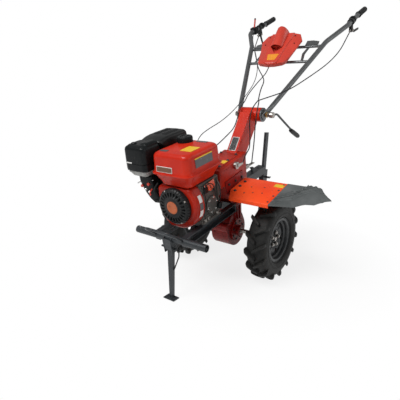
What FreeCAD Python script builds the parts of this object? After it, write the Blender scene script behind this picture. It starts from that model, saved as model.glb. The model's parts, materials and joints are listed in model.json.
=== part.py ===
import FreeCAD, Part
import math
import os

import Sketcher

# Walk-behind power weeder with a single-cylinder petrol engine, parked on its front stand.
#
# Every chassis piece is drawn in the machine's own level frame: the axle is the origin, +X is the
# machine's left, +Y points back to the handles and +Z is up. The parked machine leans nose-down
# about its axle by park_tilt, and Placement gives each piece that lean. The document's origin lies
# on the floor, origin_setback behind the axle, under the middle of the machine.

Vector = FreeCAD.Vector

doc = FreeCAD.newDocument("power_weeder")
sheet = doc.addObject("Spreadsheet::Sheet", "Sizes")

# name, size in millimetres or degrees, what it is
SIZES = [
    # stance
    ("park_tilt", 9, "nose-down lean of the parked machine"),
    ("origin_setback", 231.4, "document origin behind the axle"),
    ("joint_gap", 0.3, "gap between faces that slide past each other"),
    ("running_clearance", 0.05, "radial clearance of a shaft in its bearing"),
    # wheels
    ("tyre_radius", 210, "radius over the lug tips"),
    ("carcass_radius", 193, "radius of the tread between the lugs"),
    ("tyre_half_width", 53, "half the width of the carcass"),
    ("tyre_wall", 9, "thickness of the rubber"),
    ("bead_radius", 102, "radius of the rim's bead seat"),
    ("bead_half_width", 38, "half the distance between the rim flanges"),
    ("half_track", 267, "wheel centre plane from the machine's centre"),
    ("lug_count", 14, "lugs on each side of a tyre"),
    ("lug_width", 17, "thickness of a lug bar"),
    ("lug_sweep", 46, "how far a lug runs round the tyre"),
    ("lug_overlap", 6, "how far a lug passes the middle of the tread"),
    ("lug_root", 26, "how deep a lug starts inside the casing"),
    ("crown_drop", 7, "drop of the lug tips from middle to shoulder"),
    ("rim_flange_radius", 116, "radius of the rim's edge"),
    ("rim_wall", 3.5, "thickness of the rim"),
    ("rim_well_radius", 88, "radius of the rim's drop centre"),
    ("disc_offset", 12, "wheel disc inboard of the wheel's centre plane"),
    ("disc_hole_radius", 13, "half width of the oval holes in the disc"),
    ("disc_hole_circle", 66, "radius at which the oval holes sit"),
    ("disc_hole_count", 5, "oval holes in the disc"),
    ("hub_flange_radius", 46, "radius of the hub's bolting flange"),
    ("hub_flange_thickness", 8, "thickness of the hub's flange"),
    ("hub_radius", 22, "radius of the hub sleeve"),
    ("hub_inner_reach", 95, "hub sleeve inboard of the flange"),
    ("hub_outer_reach", 24, "hub sleeve outboard of the flange"),
    ("axle_hex", 24, "axle across its corners"),
    ("axle_overhang", 8, "axle past the hub sleeve"),
    ("journal_radius", 16, "axle journal in the final drive"),
    # final drive and gearbox
    ("drive_radius", 104, "final drive housing round the axle"),
    ("drive_half_width", 52, "half width of the final drive housing"),
    ("neck_front", 36, "front of the neck ahead of the axle"),
    ("neck_rear", 68, "rear of the neck behind the axle"),
    ("neck_half_width", 50, "half width of the neck"),
    ("split_up", 150, "joint face between final drive and gearbox"),
    ("split_flange", 9, "thickness of each flange at that joint"),
    ("split_flange_reach", 14, "how far that flange stands out"),
    ("cover_radius", 72, "bolted side cover of the final drive"),
    ("cover_thickness", 10, "thickness of the side cover"),
    ("boss_radius", 34, "bearing boss on the side cover"),
    ("boss_reach", 20, "bearing boss past the side cover"),
    ("neck_rib_width", 6, "thickness of a rib on the neck"),
    ("neck_rib_reach", 9, "how far a rib stands out from the neck"),
    ("lobe_radius", 27, "round lobe at the front of the final drive"),
    ("lobe_ahead", 88, "that lobe ahead of the axle"),
    ("lobe_up", 46, "that lobe above the axle"),
    ("case_half_width", 72, "half width of the gearbox case"),
    ("case_front", 140, "gearbox front ahead of the axle"),
    ("case_rear", 110, "gearbox rear behind the axle"),
    ("case_front_top", 384, "gearbox top at its front"),
    ("case_rear_top", 410, "gearbox top at its rear"),
    ("case_front_base", 290, "gearbox underside at its front"),
    ("case_rear_base", 262, "gearbox underside at its rear"),
    ("case_rounding", 14, "rounding of the gearbox's long edges"),
    ("lid_thickness", 7, "plate bolted on the gearbox top"),
    ("lid_front", 116, "front of that plate ahead of the axle"),
    ("lid_rear", 58, "rear of that plate behind the axle"),
    ("lid_half_width", 54, "half width of that plate"),
    ("clutch_shaft_ahead", 5, "clutch arm's shaft ahead of the axle"),
    ("clutch_shaft_up", 372, "clutch arm's shaft above the axle"),
    ("clutch_boss_radius", 18, "boss of the clutch arm"),
    ("clutch_boss_reach", 14, "boss of the clutch arm past the case"),
    ("shift_out", 54, "shift shaft from the middle"),
    ("shift_up", 318, "shift shaft above the axle"),
    ("shift_boss_radius", 13, "boss of the shift shaft"),
    ("shift_boss_reach", 34, "boss of the shift shaft behind the case"),
    ("arm_sheet", 5, "metal of the clutch arm and the shift arm"),
    ("arm_width", 18, "width of those arms"),
    ("clutch_arm_length", 46, "clutch arm from its shaft to its cable"),
    ("shift_arm_length", 62, "shift arm past its boss"),
    ("clutch_radius", 70, "clutch housing between engine and gearbox"),
    # engine
    ("crank_up", 300, "crankshaft above the axle"),
    ("engine_rear", 192, "engine's output face ahead of the axle"),
    ("engine_front", 340, "crankcase front ahead of the axle"),
    ("engine_left", 92, "crankcase on the left side"),
    ("engine_right", 85, "crankcase on the right side"),
    ("engine_base", 195, "engine base above the axle"),
    ("engine_top", 390, "crankcase top, where the tank sits"),
    ("sump_height", 12, "flange along the engine's foot"),
    ("sump_reach", 9, "that flange past the crankcase sides"),
    ("side_cover_radius", 42, "round cover on the crankcase's left side"),
    ("side_cover_reach", 8, "that cover past the crankcase"),
    ("side_cover_ahead", 262, "that cover ahead of the axle"),
    ("side_cover_up", 268, "that cover above the axle"),
    ("shroud_edge", 14, "rounding of the shroud's front edge"),
    ("shroud_depth", 58, "fan shroud front to back"),
    ("shroud_radius", 116, "fan shroud round the flywheel"),
    ("shroud_top", 84, "fan shroud top above the crankshaft"),
    ("starter_radius", 86, "recoil starter cover"),
    ("starter_depth", 32, "recoil starter cover front to back"),
    ("starter_hub_radius", 30, "raised middle of the starter cover"),
    ("starter_slot_width", 6, "slots of the starter's grille"),
    ("starter_slot_count", 20, "slots round the starter's grille"),
    ("starter_slot_depth", 12, "depth of those slots"),
    ("starter_slot_inner", 38, "inner end of a slot"),
    ("starter_slot_outer", 72, "outer end of a slot"),
    ("head_right", 205, "cylinder head's outer end"),
    ("head_front", 320, "cylinder head front ahead of the axle"),
    ("head_rear", 205, "cylinder head rear ahead of the axle"),
    ("head_base", 262, "cylinder head underside"),
    ("head_top", 398, "cylinder head top"),
    ("fin_sheet", 3.5, "thickness of a cooling fin"),
    ("fin_count", 8, "cooling fins on the cylinder"),
    ("fin_reach", 15, "cooling fins past the barrel"),
    ("fins_right", 168, "outermost fin from the middle"),
    ("rocker_inset", 10, "rocker cover inside the head's outline"),
    # fuel tank
    ("tank_right", 100, "tank's right side at its seam"),
    ("tank_left", 110, "tank's left side at its seam"),
    ("tank_front", 420, "tank front at its seam"),
    ("tank_rear", 170, "tank rear at its seam"),
    ("tank_seam_up", 450, "tank seam above the axle"),
    ("tank_top", 546, "tank top above the axle"),
    ("tank_draft", 13, "how far the upper half narrows on each side"),
    ("tank_tuck", 36, "how far the lower half narrows on each side"),
    ("tank_wall", 3, "tank wall"),
    ("tank_corner", 38, "corner radius of the tank"),
    ("tank_round", 26, "rounding of the tank's upper edge"),
    ("seam_reach", 8, "tank seam flange past the sides"),
    ("seam_thickness", 5, "tank seam flange"),
    ("cap_right", 50, "filler cap to the right of the middle"),
    ("cap_front", 228, "filler cap ahead of the axle"),
    ("cap_radius", 37, "filler cap radius"),
    ("cap_height", 26, "filler cap height"),
    ("filler_radius", 22, "filler opening in the tank"),
    # air cleaner, carburettor and muffler
    ("cleaner_right", 250, "air cleaner's outer side"),
    ("cleaner_left", 118, "air cleaner's inner side, right of the middle"),
    ("cleaner_front", 440, "air cleaner front"),
    ("cleaner_rear", 314, "air cleaner rear"),
    ("cleaner_base", 450, "air cleaner case underside"),
    ("cleaner_top", 560, "air cleaner case top"),
    ("cleaner_corner", 24, "corner radius of the air cleaner"),
    ("cleaner_tray", 30, "height of the tray under the air cleaner"),
    ("cleaner_inset", 8, "tray inside the case's sides"),
    ("knob_radius", 13, "wing knob on the air cleaner"),
    ("knob_height", 16, "wing knob height"),
    ("cleaner_bevel", 20, "bevel round the air cleaner's top"),
    ("cleaner_hump_height", 12, "hump on the rear of the air cleaner's top"),
    ("carb_right", 200, "carburettor's outer side"),
    ("carb_left", 124, "carburettor's inner side, right of the middle"),
    ("carb_front", 402, "carburettor front"),
    ("carb_base", 286, "carburettor underside"),
    ("muffler_right", 240, "muffler's outer side"),
    ("muffler_left", 112, "muffler's inner side, right of the middle"),
    ("muffler_front", 300, "muffler front"),
    ("muffler_rear", 124, "muffler rear"),
    ("muffler_base", 436, "muffler underside"),
    ("muffler_top", 580, "muffler top"),
    ("muffler_corner", 30, "corner radius of the muffler"),
    ("exhaust_radius", 17, "exhaust neck"),
    ("guard_gap", 6, "heat guard's distance from the muffler"),
    ("guard_sheet", 2.5, "heat guard metal"),
    ("guard_spacer_radius", 6, "spacers that hold the heat guard off the muffler"),
    ("guard_lip", 12, "heat guard's lip ahead of the muffler"),
    ("guard_brow", 34, "length of the heat guard's sloping brow"),
    ("guard_slot_count", 7, "slots in the heat guard's top"),
    ("guard_slot_width", 6, "width of a slot in the heat guard"),
    ("guard_slot_length", 46, "length of a slot in the heat guard"),
    # frame, bumper and front stand
    ("bumper_front", 465, "bumper tube ahead of the axle"),
    ("bumper_up", 166, "bumper tube above the axle"),
    ("bumper_radius", 17, "bumper tube outside radius"),
    ("bumper_wall", 2.5, "bumper tube wall"),
    ("bumper_half_length", 203, "half length of the bumper tube"),
    ("bumper_hole_radius", 5, "hole on top near each end of the bumper tube"),
    ("bumper_hole_inset", 18, "that hole from the tube's end"),
    ("rail_inner", 64, "inner face of a frame rail"),
    ("rail_outer", 92, "outer face of a frame rail"),
    ("rail_base", 140, "frame rail underside"),
    ("rail_top", 183, "frame rail top"),
    ("plate_front", 336, "engine plate front"),
    ("plate_rear", 200, "engine plate rear"),
    ("rear_plate", 8, "thickness of the plate that bolts to the neck"),
    ("rail_metal", 5, "metal of a frame rail"),
    ("rail_slot_half_length", 20, "half length of a slot in a frame rail"),
    ("rail_slot_half_height", 7, "half height of a slot in a frame rail"),
    ("hoop_half_width", 78, "lifting hoop legs from the middle"),
    ("hoop_bar_radius", 6, "lifting hoop bar"),
    ("hoop_front", 545, "lifting hoop apex ahead of the axle"),
    ("hoop_up", 240, "lifting hoop apex above the axle"),
    ("hoop_bend", 34, "bend radius of the lifting hoop"),
    ("pivot_front", 470, "stand pivot ahead of the axle"),
    ("stand_pivot_up", 117, "stand pivot above the axle"),
    ("cheek_inner", 19, "inner face of a stand bracket cheek"),
    ("cheek_thickness", 4, "thickness of a stand bracket cheek"),
    ("stand_pin_radius", 5, "stand pivot pin"),
    ("leg_top_half_width", 16, "half width of the stand leg at its pivot"),
    ("leg_foot_half_width", 10, "half width of the stand leg at its foot"),
    ("leg_thickness", 14, "stand leg front to back"),
    ("foot_half_width", 32, "half width of the stand's foot plate"),
    ("foot_thickness", 5, "foot plate"),
    ("foot_ahead", 26, "foot plate ahead of the leg's middle"),
    ("foot_behind", 14, "foot plate behind the leg's middle"),
    ("prow_reach", 30, "prow plate ahead of the bumper tube's middle"),
    ("rod_radius", 3, "latch rod beside the stand leg"),
    ("rod_out", 46, "upper eye of the latch rod from the middle"),
    ("rod_drop", 104, "latch rod's lower end below the stand pivot"),
    # handle column
    ("column_half_width", 41, "half width of the handle column"),
    ("column_wall", 5, "wall of the handle column"),
    ("column_front_foot", 74, "front foot of the column behind the axle"),
    ("brow_ahead", 70, "column's front upper corner ahead of the tilt axis"),
    ("brow_rise", 26, "that corner above the tilt axis"),
    ("crown_rise", 20, "column top above the tilt axis"),
    ("chin_drop", 46, "column's rear lip below the tilt axis"),
    ("heel_back", 70, "column's heel behind the gearbox"),
    ("heel_drop", 26, "column's heel below the gearbox's rear top"),
    ("toe_back", 30, "column's toe behind the gearbox"),
    ("toe_rise", 50, "column's toe above the gearbox's rear underside"),
    ("toe_root_rise", 40, "where the toe meets the gearbox, above its rear underside"),
    ("pivot_back", 306, "handle tilt axis behind the axle"),
    ("pivot_up", 560, "handle tilt axis above the axle"),
    ("drum_radius", 38, "drum that the handles clamp on"),
    ("drum_half_length", 66, "half length of that drum"),
    ("tilt_bolt_radius", 8, "bolt through the drum"),
    ("clamp_thickness", 7, "clamp disc at each end of the drum"),
    ("bolt_head_radius", 13, "head of the tilt bolt"),
    ("bolt_head_height", 8, "height of that head"),
    # handlebar
    ("tube_radius", 13.5, "handlebar tube outside radius"),
    ("tube_wall", 2.2, "handlebar tube wall"),
    ("tube_foot_out", 81, "tube centre line at the clamp, from the middle"),
    ("knee_out", 240, "upper knee of the tube, from the middle"),
    ("knee_back", 758, "upper knee behind the axle"),
    ("knee_up", 885, "upper knee above the axle"),
    ("elbow_out", 322, "bend under the grips, from the middle"),
    ("elbow_back", 885, "that bend behind the axle"),
    ("elbow_up", 962, "that bend above the axle"),
    ("grip_out", 312, "grips from the middle"),
    ("grip_start_back", 1058, "inner end of a grip behind the axle"),
    ("grip_start_up", 1001, "inner end of a grip above the axle"),
    ("grip_end_back", 1212, "tip of a grip behind the axle"),
    ("grip_end_up", 1035, "tip of a grip above the axle"),
    ("grip_radius", 17, "grip outside radius"),
    ("grip_length", 128, "grip over the tube"),
    ("grip_cap", 5, "closed end of a grip"),
    ("knee_bend", 120, "bend radius at the knee"),
    ("elbow_bend", 85, "bend radius at the elbow"),
    ("lower_bar_share", 0.72, "lower crossbar along the tube, from clamp to knee"),
    ("upper_bar_share", 0.94, "upper crossbar along the tube, from clamp to knee"),
    ("crossbar_radius", 8, "crossbar radius"),
    # console cover between the crossbars
    ("cover_tip_back", 540, "lower tip of the console cover"),
    ("cover_tip_up", 775, "lower tip of the console cover above the axle"),
    ("console_half_width", 100, "half width of the console cover's top"),
    ("console_back", 740, "upper end of the console cover"),
    ("console_up", 930, "upper end of the console cover above the axle"),
    ("console_length", 253, "length of the console cover along its slope"),
    ("bracket_out", 46, "console bracket plates from the middle"),
    ("bracket_sheet", 4, "console bracket plate"),
    ("console_thickness", 34, "depth of the console cover"),
    ("console_bevel", 16, "bevel round the console cover's top"),
    ("hood_start", 92, "hood's mouth up the console's slope from its tip"),
    ("hood_end", 226, "hood's upper end up the slope"),
    ("hood_mouth_half", 33, "half width of the hood's mouth"),
    ("hood_end_half", 22, "half width of the hood's upper end"),
    ("hood_rise", 30, "hood's crown above the console's top"),
    ("recess_start", 40, "lower end of the recess under the hood's mouth"),
    ("recess_depth", 14, "depth of that recess"),
    # hand controls
    ("control_start", 36, "first control from the bend under the grips"),
    ("block_length", 42, "throttle block along the tube"),
    ("block_half", 22, "half width of the throttle block"),
    ("throttle_lever_length", 62, "throttle lever"),
    ("throttle_lever_radius", 3.5, "throttle lever rod"),
    ("perch_length", 24, "lever perch along the tube"),
    ("perch_radius", 20, "clamp of a lever perch"),
    ("perch_drop", 52, "lever's pivot block below the tube"),
    ("perch_depth", 34, "lever's pivot block along the tube"),
    ("perch_thickness", 16, "lever's pivot block side to side"),
    ("lever_length", 168, "hand lever from its pivot to its tip"),
    ("lever_sheet", 6, "hand lever side to side"),
    ("lever_width", 15, "hand lever at its root"),
    ("lever_tip_width", 11, "hand lever at its tip"),
    ("left_lever_fall", 12, "fall of the left lever towards its tip, in degrees"),
    ("right_lever_fall", 70, "hang of the right lever, in degrees"),
    ("right_perch_start", 108, "right perch from the bend under the grips"),
    # clamp crank
    ("crank_out", 122, "clamp crank from the middle"),
    ("crank_rod_radius", 6, "rod of the clamp crank"),
    ("crank_hub_radius", 15, "hub of the clamp crank"),
    ("crank_hub_half", 11, "half length of that hub"),
    ("crank_grip_back", 510, "inner end of the crank's grip behind the axle"),
    ("crank_grip_up", 447, "inner end of the crank's grip above the axle"),
    ("crank_end_back", 652, "tip of the crank's grip behind the axle"),
    ("crank_end_up", 357, "tip of the crank's grip above the axle"),
    ("crank_grip_radius", 13, "grip of the clamp crank"),
    # fenders
    ("fender_inner", 84, "inner edge of a fender"),
    ("fender_seam", 325, "joint between metal fender and rubber flap"),
    ("fender_outer", 530, "outer edge of the rubber flap"),
    ("fender_front", 162, "fender front ahead of the axle"),
    ("fender_rear", 128, "fender rear behind the axle"),
    ("fender_up", 262, "fender above the axle at its middle"),
    ("fender_pitch", 4, "how far the fender slopes down to the front"),
    ("fender_sheet", 2.5, "fender metal"),
    ("fender_skirt", 20, "turned-down edge of the fender"),
    ("bracket_angle", 5, "fender bracket metal"),
    ("angle_height", 62, "fender bracket above the fender"),
    ("angle_reach", 58, "fender bracket out from the gearbox"),
    ("angle_front", 104, "fender bracket ahead of the axle"),
    ("angle_rear", 62, "fender bracket behind the axle"),
    ("flap_sheet", 5, "rubber flap"),
    ("flap_droop", 26, "how far the flap's outer edge hangs down"),
    ("flap_rim", 24, "how far the flap's rim turns down"),
    ("flap_rib", 4, "height of a rib on the flap"),
    ("flap_rib_width", 12, "width of a rib on the flap"),
    ("flap_rib_pitch", 26, "one rib of the flap to the next"),
    # hitch and drag stake
    ("stake_back", 444, "drag stake behind the axle, at stake_up"),
    ("stake_up", 298, "height at which stake_back is measured"),
    ("stake_lean", 13.5, "lean of the stake from the machine's upright"),
    ("stake_half_width", 7, "half thickness of the stake, side to side"),
    ("stake_depth", 32, "stake front to back"),
    ("stake_above", 122, "stake above its measuring point"),
    ("stake_below", 420, "stake below its measuring point"),
    ("socket_wall", 8, "wall of the stake's socket"),
    ("socket_above", 100, "socket's upper end below the measuring point"),
    ("socket_length", 90, "length of the socket"),
    ("hitch_bar_half_width", 25, "half width of the drawbar"),
    ("hitch_bar_top", 232, "drawbar top above the axle"),
    ("hitch_bar_base", 188, "drawbar underside above the axle"),
    ("hitch_hole_radius", 8.5, "upright hole for a hitch pin"),
    ("hitch_hole_back", 350, "hitch hole behind the axle"),
    ("pin_radius", 7, "zinc pin through the drawbar"),
    ("pin_back", 280, "that pin behind the axle"),
    ("pin_stand", 22, "that pin above and below the drawbar"),
    ("pin_head_radius", 12, "head of that pin"),
    ("pin_head_height", 5, "height of that head"),
    ("stake_hole_radius", 5, "holes down the stake"),
    ("stake_hole_pitch", 32, "one hole of the stake to the next"),
    ("stake_hole_count", 9, "holes down the stake"),
    ("stake_hole_first", 70, "lowest hole above the stake's lower end"),
    ("screw_radius", 6, "clamp screw of the stake's socket"),
    ("screw_reach", 30, "that screw past the socket"),
    ("screw_bar_half", 22, "half length of that screw's crossbar"),
    ("screw_bar_radius", 3.5, "that crossbar"),
    # control cables
    ("cable_radius", 2.5, "clutch and reverse cables, outside radius"),
    ("wire_radius", 1.8, "throttle wire"),
]


class Size:
    """A size worked out from the sheet: its number now, and the formula that keeps it true."""

    def __init__(self, number, formula):
        self.number = float(number)
        self.formula = formula

    def __add__(self, other):
        other = as_size(other)
        return Size(self.number + other.number, f"({self.formula} + {other.formula})")

    def __sub__(self, other):
        other = as_size(other)
        return Size(self.number - other.number, f"({self.formula} - {other.formula})")

    def __mul__(self, other):
        other = as_size(other)
        return Size(self.number * other.number, f"({self.formula} * {other.formula})")

    def __truediv__(self, other):
        other = as_size(other)
        return Size(self.number / other.number, f"({self.formula} / {other.formula})")

    def __rsub__(self, other):
        return as_size(other) - self

    def __neg__(self):
        return as_size(0) - self

    def __float__(self):
        return self.number

    __radd__ = __add__
    __rmul__ = __mul__


def as_size(value):
    """Read a plain number as a Size with a constant formula."""
    if isinstance(value, Size):
        return value
    return Size(value, f"({float(value):.6f})")


def cosine(angle):
    """Cosine of an angle in degrees, as a Size."""
    angle = as_size(angle)
    return Size(math.cos(math.radians(angle.number)), f"cos({angle.formula})")


def sine(angle):
    """Sine of an angle in degrees, as a Size."""
    angle = as_size(angle)
    return Size(math.sin(math.radians(angle.number)), f"sin({angle.formula})")


class SizeTable:
    """The sheet's sizes, each under its own name."""


S = SizeTable()
for row, (alias, number, meaning) in enumerate(SIZES, start=1):
    sheet.set(f"A{row}", str(number))
    sheet.setAlias(f"A{row}", alias)
    sheet.set(f"B{row}", meaning)
    setattr(S, alias, Size(number, f"Sizes.{alias}"))
doc.recompute()

subparts = []


# ---------------------------------------------------------------- placing

def world_back(back, up):
    """How far behind the document's origin a point of the leaning machine lies."""
    return back * cosine(S.park_tilt) - up * sine(S.park_tilt) - S.origin_setback


def world_up(back, up):
    """How high above the floor a point of the leaning machine lies."""
    return back * sine(S.park_tilt) + up * cosine(S.park_tilt) + S.tyre_radius


def place(item, side=0, back=0, up=0, lean=S.park_tilt):
    """Put an object's own origin at a point of the machine, turned about X by lean."""
    spot = (as_size(side), world_back(as_size(back), as_size(up)), world_up(as_size(back), as_size(up)))
    numbers = [value.number for value in spot]
    item.Placement = FreeCAD.Placement(Vector(*numbers), FreeCAD.Rotation(Vector(1, 0, 0), float(lean)))
    for letter, value in zip("xyz", spot):
        item.setExpression(f"Placement.Base.{letter}", value.formula)
    if isinstance(lean, Size):
        item.setExpression("Placement.Rotation.Angle", lean.formula)


def keep(item, label, **where):
    """Name a finished sub-part, place it and list it for writing."""
    item.Label = label
    place(item, **where)
    subparts.append(item)
    return item


def keep_fixed(shape, label, **where):
    """Keep a shape made with Part's own functions as a sub-part."""
    item = doc.addObject("Part::Feature", label)
    item.Shape = shape
    return keep(item, label, **where)


# ---------------------------------------------------------------- sketches and features

def new_body(label):
    """Start a sub-part built from features."""
    return doc.addObject("PartDesign::Body", label)


def new_sketch(body, role, offset=0, turn=0):
    """Attach an empty sketch to one of the body's own planes, turned about its first axis and shifted."""
    sketch = body.newObject("Sketcher::SketchObject", body.Name + "_sketch")
    plane = [item for item in body.Origin.OriginFeatures if item.Role == role][0]
    sketch.AttachmentSupport = [(plane, "")]
    sketch.MapMode = "FlatFace"
    offset, turn = as_size(offset), as_size(turn)
    spot = {"y": -offset * sine(turn), "z": offset * cosine(turn)}
    turned = FreeCAD.Rotation(Vector(1, 0, 0), turn.number)
    sketch.AttachmentOffset = FreeCAD.Placement(Vector(0, spot["y"].number, spot["z"].number), turned)
    for letter, value in spot.items():
        sketch.setExpression(f"AttachmentOffset.Base.{letter}", value.formula)
    if turn.number:
        sketch.setExpression("AttachmentOffset.Rotation.Angle", turn.formula)
    return sketch


def hold(sketch, kind, *where_and_value):
    """Add a sketch dimension whose last argument is a Size, and bind it to its formula."""
    value = as_size(where_and_value[-1])
    index = sketch.addConstraint(Sketcher.Constraint(kind, *where_and_value[:-1], value.number))
    sketch.setExpression(f"Constraints[{index}]", value.formula)


def draw_outline(body, role, points, offset=0, turn=0):
    """Sketch a closed polygon; each corner is a pair of sizes in the plane's own directions."""
    sketch = new_sketch(body, role, offset, turn)
    corners = [(as_size(across), as_size(along)) for across, along in points]
    count = len(corners)
    for index in range(count):
        start = Vector(corners[index][0].number, corners[index][1].number, 0)
        end_corner = corners[(index + 1) % count]
        end = Vector(end_corner[0].number, end_corner[1].number, 0)
        sketch.addGeometry(Part.LineSegment(start, end), False)
    for index in range(count):
        sketch.addConstraint(Sketcher.Constraint("Coincident", index, 2, (index + 1) % count, 1))
    for index, (across, along) in enumerate(corners):
        hold(sketch, "DistanceX", -1, 1, index, 1, across)
        hold(sketch, "DistanceY", -1, 1, index, 1, along)
    return sketch


def draw_circle(body, role, across, along, radius, offset=0):
    """Sketch a circle about a point of the plane."""
    sketch = new_sketch(body, role, offset)
    across, along, radius = as_size(across), as_size(along), as_size(radius)
    circle = Part.Circle(Vector(across.number, along.number, 0), Vector(0, 0, 1), radius.number)
    sketch.addGeometry(circle, False)
    hold(sketch, "Radius", 0, radius)
    hold(sketch, "DistanceX", -1, 1, 0, 3, across)
    hold(sketch, "DistanceY", -1, 1, 0, 3, along)
    return sketch


def draw_rounded(body, role, left, right, low, high, radius, offset=0):
    """Sketch a rectangle with round corners."""
    sketch = new_sketch(body, role, offset)
    left, right, low, high = as_size(left), as_size(right), as_size(low), as_size(high)
    radius = as_size(radius)
    r = radius.number
    x0, x1, y0, y1 = left.number, right.number, low.number, high.number
    lines = [((x0 + r, y0), (x1 - r, y0)), ((x1, y0 + r), (x1, y1 - r)),
             ((x1 - r, y1), (x0 + r, y1)), ((x0, y1 - r), (x0, y0 + r))]
    centres = [(x1 - r, y0 + r, -90), (x1 - r, y1 - r, 0), (x0 + r, y1 - r, 90), (x0 + r, y0 + r, 180)]
    for start, end in lines:
        sketch.addGeometry(Part.LineSegment(Vector(*start, 0), Vector(*end, 0)), False)
    for x, y, turn in centres:
        circle = Part.Circle(Vector(x, y, 0), Vector(0, 0, 1), r)
        sketch.addGeometry(Part.ArcOfCircle(circle, math.radians(turn), math.radians(turn + 90)), False)
    for index in range(4):
        sketch.addConstraint(Sketcher.Constraint("Tangent", index, 2, 4 + index, 1))
        sketch.addConstraint(Sketcher.Constraint("Tangent", 4 + index, 2, (index + 1) % 4, 1))
    for index in (0, 2):
        sketch.addConstraint(Sketcher.Constraint("Horizontal", index))
    for index in (1, 3):
        sketch.addConstraint(Sketcher.Constraint("Vertical", index))
    for index in range(1, 4):
        sketch.addConstraint(Sketcher.Constraint("Equal", 4, 4 + index))
    hold(sketch, "Radius", 4, radius)
    hold(sketch, "DistanceX", -1, 1, 3, 1, left)
    hold(sketch, "DistanceX", -1, 1, 1, 1, right)
    hold(sketch, "DistanceY", -1, 1, 0, 1, low)
    hold(sketch, "DistanceY", -1, 1, 2, 1, high)
    return sketch


def feature(body, kind, sketch, **settings):
    """Add a sketch-based feature and bind the sizes among its settings."""
    step = body.newObject(f"PartDesign::{kind}", f"{body.Name}_{kind}")
    step.Profile = sketch
    for name, value in settings.items():
        if isinstance(value, Size):
            setattr(step, name, value.number)
            step.setExpression(name, value.formula)
        else:
            setattr(step, name, value)
    body.Tip = step
    return step


def pad(body, sketch, length, symmetric=False, back=False):
    """Extrude a sketch along its plane's normal, to both sides or backwards if asked."""
    side = "Symmetric" if symmetric else "One side"
    return feature(body, "Pad", sketch, Length=as_size(length), SideType=side, Reversed=back)


def pocket(body, sketch, length=None, symmetric=True, back=False):
    """Cut a sketch through everything, or to a length."""
    if length is None:
        side = "Symmetric" if symmetric else "One side"
        return feature(body, "Pocket", sketch, Type="ThroughAll", SideType=side, Reversed=back)
    side = "Symmetric" if symmetric else "One side"
    return feature(body, "Pocket", sketch, Length=as_size(length), SideType=side, Reversed=back)


def revolve(body, sketch, axis="H_Axis", kind="Revolution"):
    """Turn a sketch a full circle about one of its own axes."""
    return feature(body, kind, sketch, ReferenceAxis=(sketch, [axis]), Angle=360.0)


def loft(body, sketches, kind="AdditiveLoft"):
    """Join sections by straight walls."""
    return feature(body, kind, sketches[0], Sections=sketches[1:], Ruled=True)


def polar(body, steps, count, role="X_Axis"):
    """Repeat features round one of the body's own axes."""
    axis = [item for item in body.Origin.OriginFeatures if item.Role == role][0]
    pattern = body.newObject("PartDesign::PolarPattern", body.Name + "_pattern")
    pattern.Originals = steps
    pattern.Axis = (axis, [""])
    pattern.Angle = 360
    pattern.Occurrences = int(float(count))
    if isinstance(count, Size):
        pattern.setExpression("Occurrences", count.formula)
    body.Tip = pattern
    return pattern


def row(body, steps, length, count, role="X_Axis", back=False):
    """Repeat features in a row along one of the body's own axes."""
    axis = [item for item in body.Origin.OriginFeatures if item.Role == role][0]
    pattern = body.newObject("PartDesign::LinearPattern", body.Name + "_row")
    pattern.Originals = steps
    pattern.Direction = (axis, [""])
    pattern.Reversed = back
    length = as_size(length)
    pattern.Length = length.number
    pattern.setExpression("Length", length.formula)
    pattern.Occurrences = int(float(count))
    if isinstance(count, Size):
        pattern.setExpression("Occurrences", count.formula)
    body.Tip = pattern
    return pattern


def round_edges(body, radius, chosen):
    """Fillet the edges that the test picks."""
    doc.recompute()
    base = body.Tip
    names = [f"Edge{number}" for number, edge in enumerate(base.Shape.Edges, start=1) if chosen(edge)]
    fillet = body.newObject("PartDesign::Fillet", body.Name + "_fillet")
    fillet.Base = (base, names)
    radius = as_size(radius)
    fillet.Radius = radius.number
    fillet.setExpression("Radius", radius.formula)
    body.Tip = fillet
    return fillet


def runs_along(edge, axis):
    """True for a straight edge parallel to an axis, given as 0, 1 or 2."""
    if not isinstance(edge.Curve, Part.Line):
        return False
    return abs(abs(edge.Curve.Direction[axis]) - 1) < 1e-6


def block(body, left, right, front, rear, base, top):
    """Pad a box between six faces of the machine's frame; front and rear are signed distances back."""
    sketch = draw_outline(body, "XY_Plane", [(left, front), (right, front), (right, rear), (left, rear)], base)
    return pad(body, sketch, as_size(top) - base)


# ---------------------------------------------------------------- tubes and rods

def path_wire(points, bends):
    """Straight runs joined by tangent arcs: bends holds one radius for each inner point."""
    corners = [Vector(*[float(value) for value in point]) for point in points]
    edges = []
    start = corners[0]
    for index in range(1, len(corners) - 1):
        corner = corners[index]
        before = (corners[index - 1] - corner).normalize()
        after = (corners[index + 1] - corner).normalize()
        half_turn = (math.pi - before.getAngle(after)) / 2
        set_back = float(bends[index - 1]) * math.tan(half_turn)
        first = corner + before * set_back
        last = corner + after * set_back
        bisector = (before + after).normalize()
        centre_distance = float(bends[index - 1]) / math.cos(half_turn)
        middle = corner + bisector * (centre_distance - float(bends[index - 1]))
        edges.append(Part.LineSegment(start, first).toShape())
        edges.append(Part.Arc(first, middle, last).toShape())
        start = last
    edges.append(Part.LineSegment(start, corners[-1]).toShape())
    return Part.Wire(edges)


def sweep(points, bends, radius):
    """A solid round bar along a path."""
    wire = path_wire(points, bends)
    start = wire.OrderedVertexes[0].Point
    direction = wire.OrderedEdges[0].tangentAt(wire.OrderedEdges[0].FirstParameter)
    if (start - wire.OrderedEdges[0].valueAt(wire.OrderedEdges[0].FirstParameter)).Length > 1e-6:
        direction = wire.OrderedEdges[0].tangentAt(wire.OrderedEdges[0].LastParameter) * -1
    ring = Part.Wire([Part.makeCircle(float(radius), start, direction)])
    return wire.makePipeShell([ring], True, False)


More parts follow.
